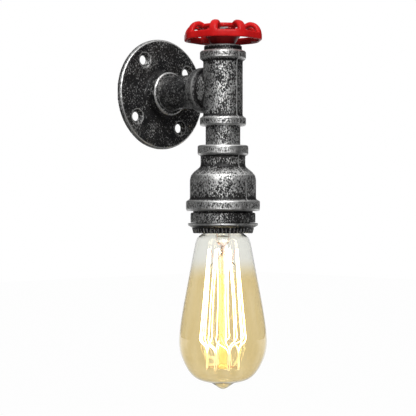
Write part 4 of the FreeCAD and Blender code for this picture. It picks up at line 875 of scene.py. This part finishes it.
def makeCage():
    plan = cage
    step = 2 * math.pi / plan["hooks"]
    turn = math.radians(plan["turn"])
    top, bulge = capFoot - plan["topFall"], capFoot - plan["bulgeFall"]
    end = capFoot - plan["endFall"]
    knee = end + plan["footRun"]
    loop = plan["loop"]

    def strand(angle, side):  # one strand of a pair drops to its own foot, the other to the next foot
        spread, stood = angle + side * step / 4, angle + (step if side > 0 else 0)
        return [cagePoint(plan["top"], angle, top, side * loop), cagePoint(plan["waist"], spread, (top + bulge) / 2),
                cagePoint(plan["side"], spread, capFoot - plan["sideFall"]), cagePoint(plan["bulge"], spread, bulge),
                cagePoint(plan["foot"], stood, knee, -side * loop),
                cagePoint(plan["foot"], stood, end, -side * loop)]

    path = []
    for index in range(plan["hooks"]):
        angle = turn + index * step
        path += [cagePoint(plan["foot"], angle, end - loop)]
        path += smoothPath(strand(angle, -1), 5)[::-1]
        path += [cagePoint(plan["top"], angle, top + loop)]
        path += smoothPath(strand(angle, 1), 5)
    wirePiece("cageWire", [path], plan["wire"], "glow", "bulb", "filament", "bulb_filament")
    # hooks: the leads hold two places of the upper row
    inside = loop - 3.3 * plan["wire"]
    upper, lower = capFoot - plan["upper"], capFoot - plan["lower"]
    hooks = []
    for index in range(plan["hooks"]):
        angle = turn + index * step
        rest, edge = plan["top"], plan["upperButton"] - 0.3
        if index % 4 < 3:
            hooks.append(smoothPath([cagePoint(edge, angle, upper), cagePoint(edge * 1.6, angle, upper + 1.0),
                                     cagePoint(rest - 2.2 * loop, angle, top + inside - 1.0),
                                     cagePoint(rest - loop, angle, top + inside),
                                     cagePoint(rest + loop, angle, top + inside)], 4))
        hooks.append([cagePoint(plan["lowerButton"] - 0.3, angle, lower),
                      cagePoint(plan["foot"] - loop, angle, end - inside),
                      cagePoint(plan["foot"] + loop, angle, end - inside)])
    wirePiece("cageHooks", hooks, plan["hookWire"], "copper", "bulb", "copper", "bulb_supports")


makeCage()


# leads: two copper wires that come together in the press and twist down to the rod
leads = {"spread": 4.5, "start": -2.3, "straight": 11.2, "meet": 14.6, "foot": 21.8, "twist": 0.75, "turns": 3.0,
         "wire": 0.38, "tail": [(6.0, 26.6), (12.1, 31.2)], "tailTurn": -60.75, "tailWire": 0.3}


def makeLeads():
    plan = leads
    paths = []
    view = math.atan2(acrossView.y, acrossView.x)
    for side in (1, -1):
        path = [(side * spread * math.cos(view), side * spread * math.sin(view), capFoot - fall)
                for spread, fall in ((plan["spread"], plan["start"]), (plan["spread"], 5.0),
                                     (plan["spread"], plan["straight"]),
                                     (plan["spread"] * 0.55, (plan["straight"] + plan["meet"]) / 2 + 0.6))]
        straight = len(path)
        steps = 24
        for index in range(steps + 1):
            share = index / steps
            angle = view + share * plan["turns"] * math.pi + (0 if side > 0 else math.pi)
            fall = plan["meet"] + share * (plan["foot"] - plan["meet"])
            path.append((plan["twist"] * math.cos(angle), plan["twist"] * math.sin(angle), capFoot - fall))
        paths.append(smoothPath(path[:straight + 1], 5)[:-1] + path[straight:])
    wirePiece("lampLeads", paths, plan["wire"], "copper", "bulb", "copper", "bulb_lead_wires")
    # dark wires that carry the current out to the cage, one on each side
    tails = []
    toCamera = math.atan2(towardsCamera.y, towardsCamera.x)
    for turn in (0, math.pi):
        angle = toCamera + math.radians(plan["tailTurn"]) + turn
        tails.append(smoothPath([(0, 0, capFoot - plan["foot"])]
                                + [cagePoint(reach, angle, capFoot - fall) for reach, fall in plan["tail"]], 5))
    wirePiece("cageLeads", tails, plan["tailWire"], "darkWire", "bulb", "copper")


makeLeads()
print("lamp made")


# finishes of the CAD nodes that stay

kept = {"lampholder_insulator": "porcelain", "screw_shell": "brass", "centre_contact": "brass",
        "shell_terminal": "brass", "terminal_screws": "zinc", "valve_stem": "zinc", "stem_clip": "zinc",
        "wheel_washer": "zinc", "wheel_nut": "zinc", "wire_live": "brownWire", "wire_neutral": "blueWire",
        "wire_ferrules": "zinc", "bulb_cap": "brass", "bulb_insulator": "blackGlass", "bulb_contact": "solder"}
for nodeName, finish in kept.items():
    nodes[nodeName].data.materials.clear()
    nodes[nodeName].data.materials.append(finishes[finish])


# pale floor, white all round, and two soft lamps, laid out round the camera that the photograph gives

studio = {"floorHeight": -0.55, "floorSize": 12.0, "floorGlow": 0.985, "above": 0.4, "below": 0.02,
          "front": 0.85, "ceiling": 0.7, "side": 0.02, "floorGrey": 0.45,
          "lamps": [("leftSoftbox", -9, 38, 1.5, 0.8, 11.5), ("rightSoftbox", 5, 46, 1.5, 0.8, 9.5)]}


def whiteShare(tree):
    path = put(tree, "ShaderNodeLightPath").outputs
    return maths(tree, "MAXIMUM", path["Is Camera Ray"], path["Is Transmission Ray"]), path["Is Glossy Ray"]


def makeFloor():
    bpy.ops.mesh.primitive_grid_add(x_subdivisions=2, y_subdivisions=2, size=studio["floorSize"],
                                    location=(0, 0, studio["floorHeight"]))
    floor = bpy.context.object
    floor.name = "floor"
    material, tree, skin, place = newMaterial("paleFloor", Roughness=0.9)
    skin.inputs["Base Color"].default_value = (studio["floorGrey"],) * 3 + (1,)
    white, glossy = whiteShare(tree)
    # reflections find the floor white behind the object, and as dark as the room in front
    behind = vector(tree, "DOT_PRODUCT", place, tuple(-towardsCamera))
    level = maths(tree, "MAXIMUM", white, ramp(tree, behind, -0.2, 1.6, studio["side"], 1.0))
    glow = put(tree, "ShaderNodeEmission", {"Color": (1, 1, 1, 1), "Strength": level}).outputs[0]
    share = maths(tree, "MULTIPLY", maths(tree, "MAXIMUM", white, glossy), studio["floorGlow"])
    both = put(tree, "ShaderNodeMixShader", {0: share, 1: skin.outputs[0], 2: glow}).outputs[0]
    tree.links.new(both, tree.nodes["Material Output"].inputs["Surface"])
    floor.data.materials.append(material)


def makeWorld():
    world = bpy.data.worlds.new("studioWorld")
    bpy.context.scene.world = world
    world.use_nodes = True
    tree = world.node_tree
    tree.nodes.clear()
    white, glossy = whiteShare(tree)
    way = put(tree, "ShaderNodeTexCoord").outputs["Generated"]
    # reflections find a bright room in front, dark sides, and the white backdrop right behind
    facing = vector(tree, "DOT_PRODUCT", way, tuple(-towardsCamera))
    upwards = axisOf(tree, way, "Z")
    room = maths(tree, "MAXIMUM", ramp(tree, facing, -1.0, -0.62, studio["front"], studio["side"]),
                 ramp(tree, facing, 0.9, 0.99))
    room = maths(tree, "MAXIMUM", room, ramp(tree, upwards, 0.4, 0.8, 0.0, studio["ceiling"]))
    sky = ramp(tree, upwards, -0.2, 0.7, studio["below"], studio["above"])
    level = maths(tree, "ADD", maths(tree, "MULTIPLY", glossy, room),
                  maths(tree, "MULTIPLY", maths(tree, "SUBTRACT", 1.0, glossy), sky))
    level = maths(tree, "ADD", white, maths(tree, "MULTIPLY", maths(tree, "SUBTRACT", 1.0, white), level))
    back = put(tree, "ShaderNodeBackground", {"Color": (1, 1, 1, 1), "Strength": level}).outputs[0]
    out = put(tree, "ShaderNodeOutputWorld")
    tree.links.new(back, out.inputs["Surface"])


def makeLamps():
    middle = Vector((0, dropY / 1000, -0.06))
    facing = math.atan2(towardsCamera.y, towardsCamera.x)
    for name, turn, height, distance, size, power in studio["lamps"]:
        angle = facing - math.radians(turn)  # a negative turn is to the camera's left
        rise = math.radians(height)
        way = Vector((math.cos(angle) * math.cos(rise), math.sin(angle) * math.cos(rise), math.sin(rise)))
        lamp = bpy.data.objects.new(name, bpy.data.lights.new(name, "AREA"))
        bpy.context.scene.collection.objects.link(lamp)
        lamp.data.shape = "RECTANGLE"
        lamp.data.size = size * 0.6
        lamp.data.size_y = size * 1.6
        lamp.data.energy = power
        lamp.location = middle + way * distance
        lamp.rotation_euler = (-way).to_track_quat("-Z", "Y").to_euler()


makeFloor()
makeWorld()
makeLamps()
bpy.context.scene.view_settings.view_transform = "Standard"
print("studio made")
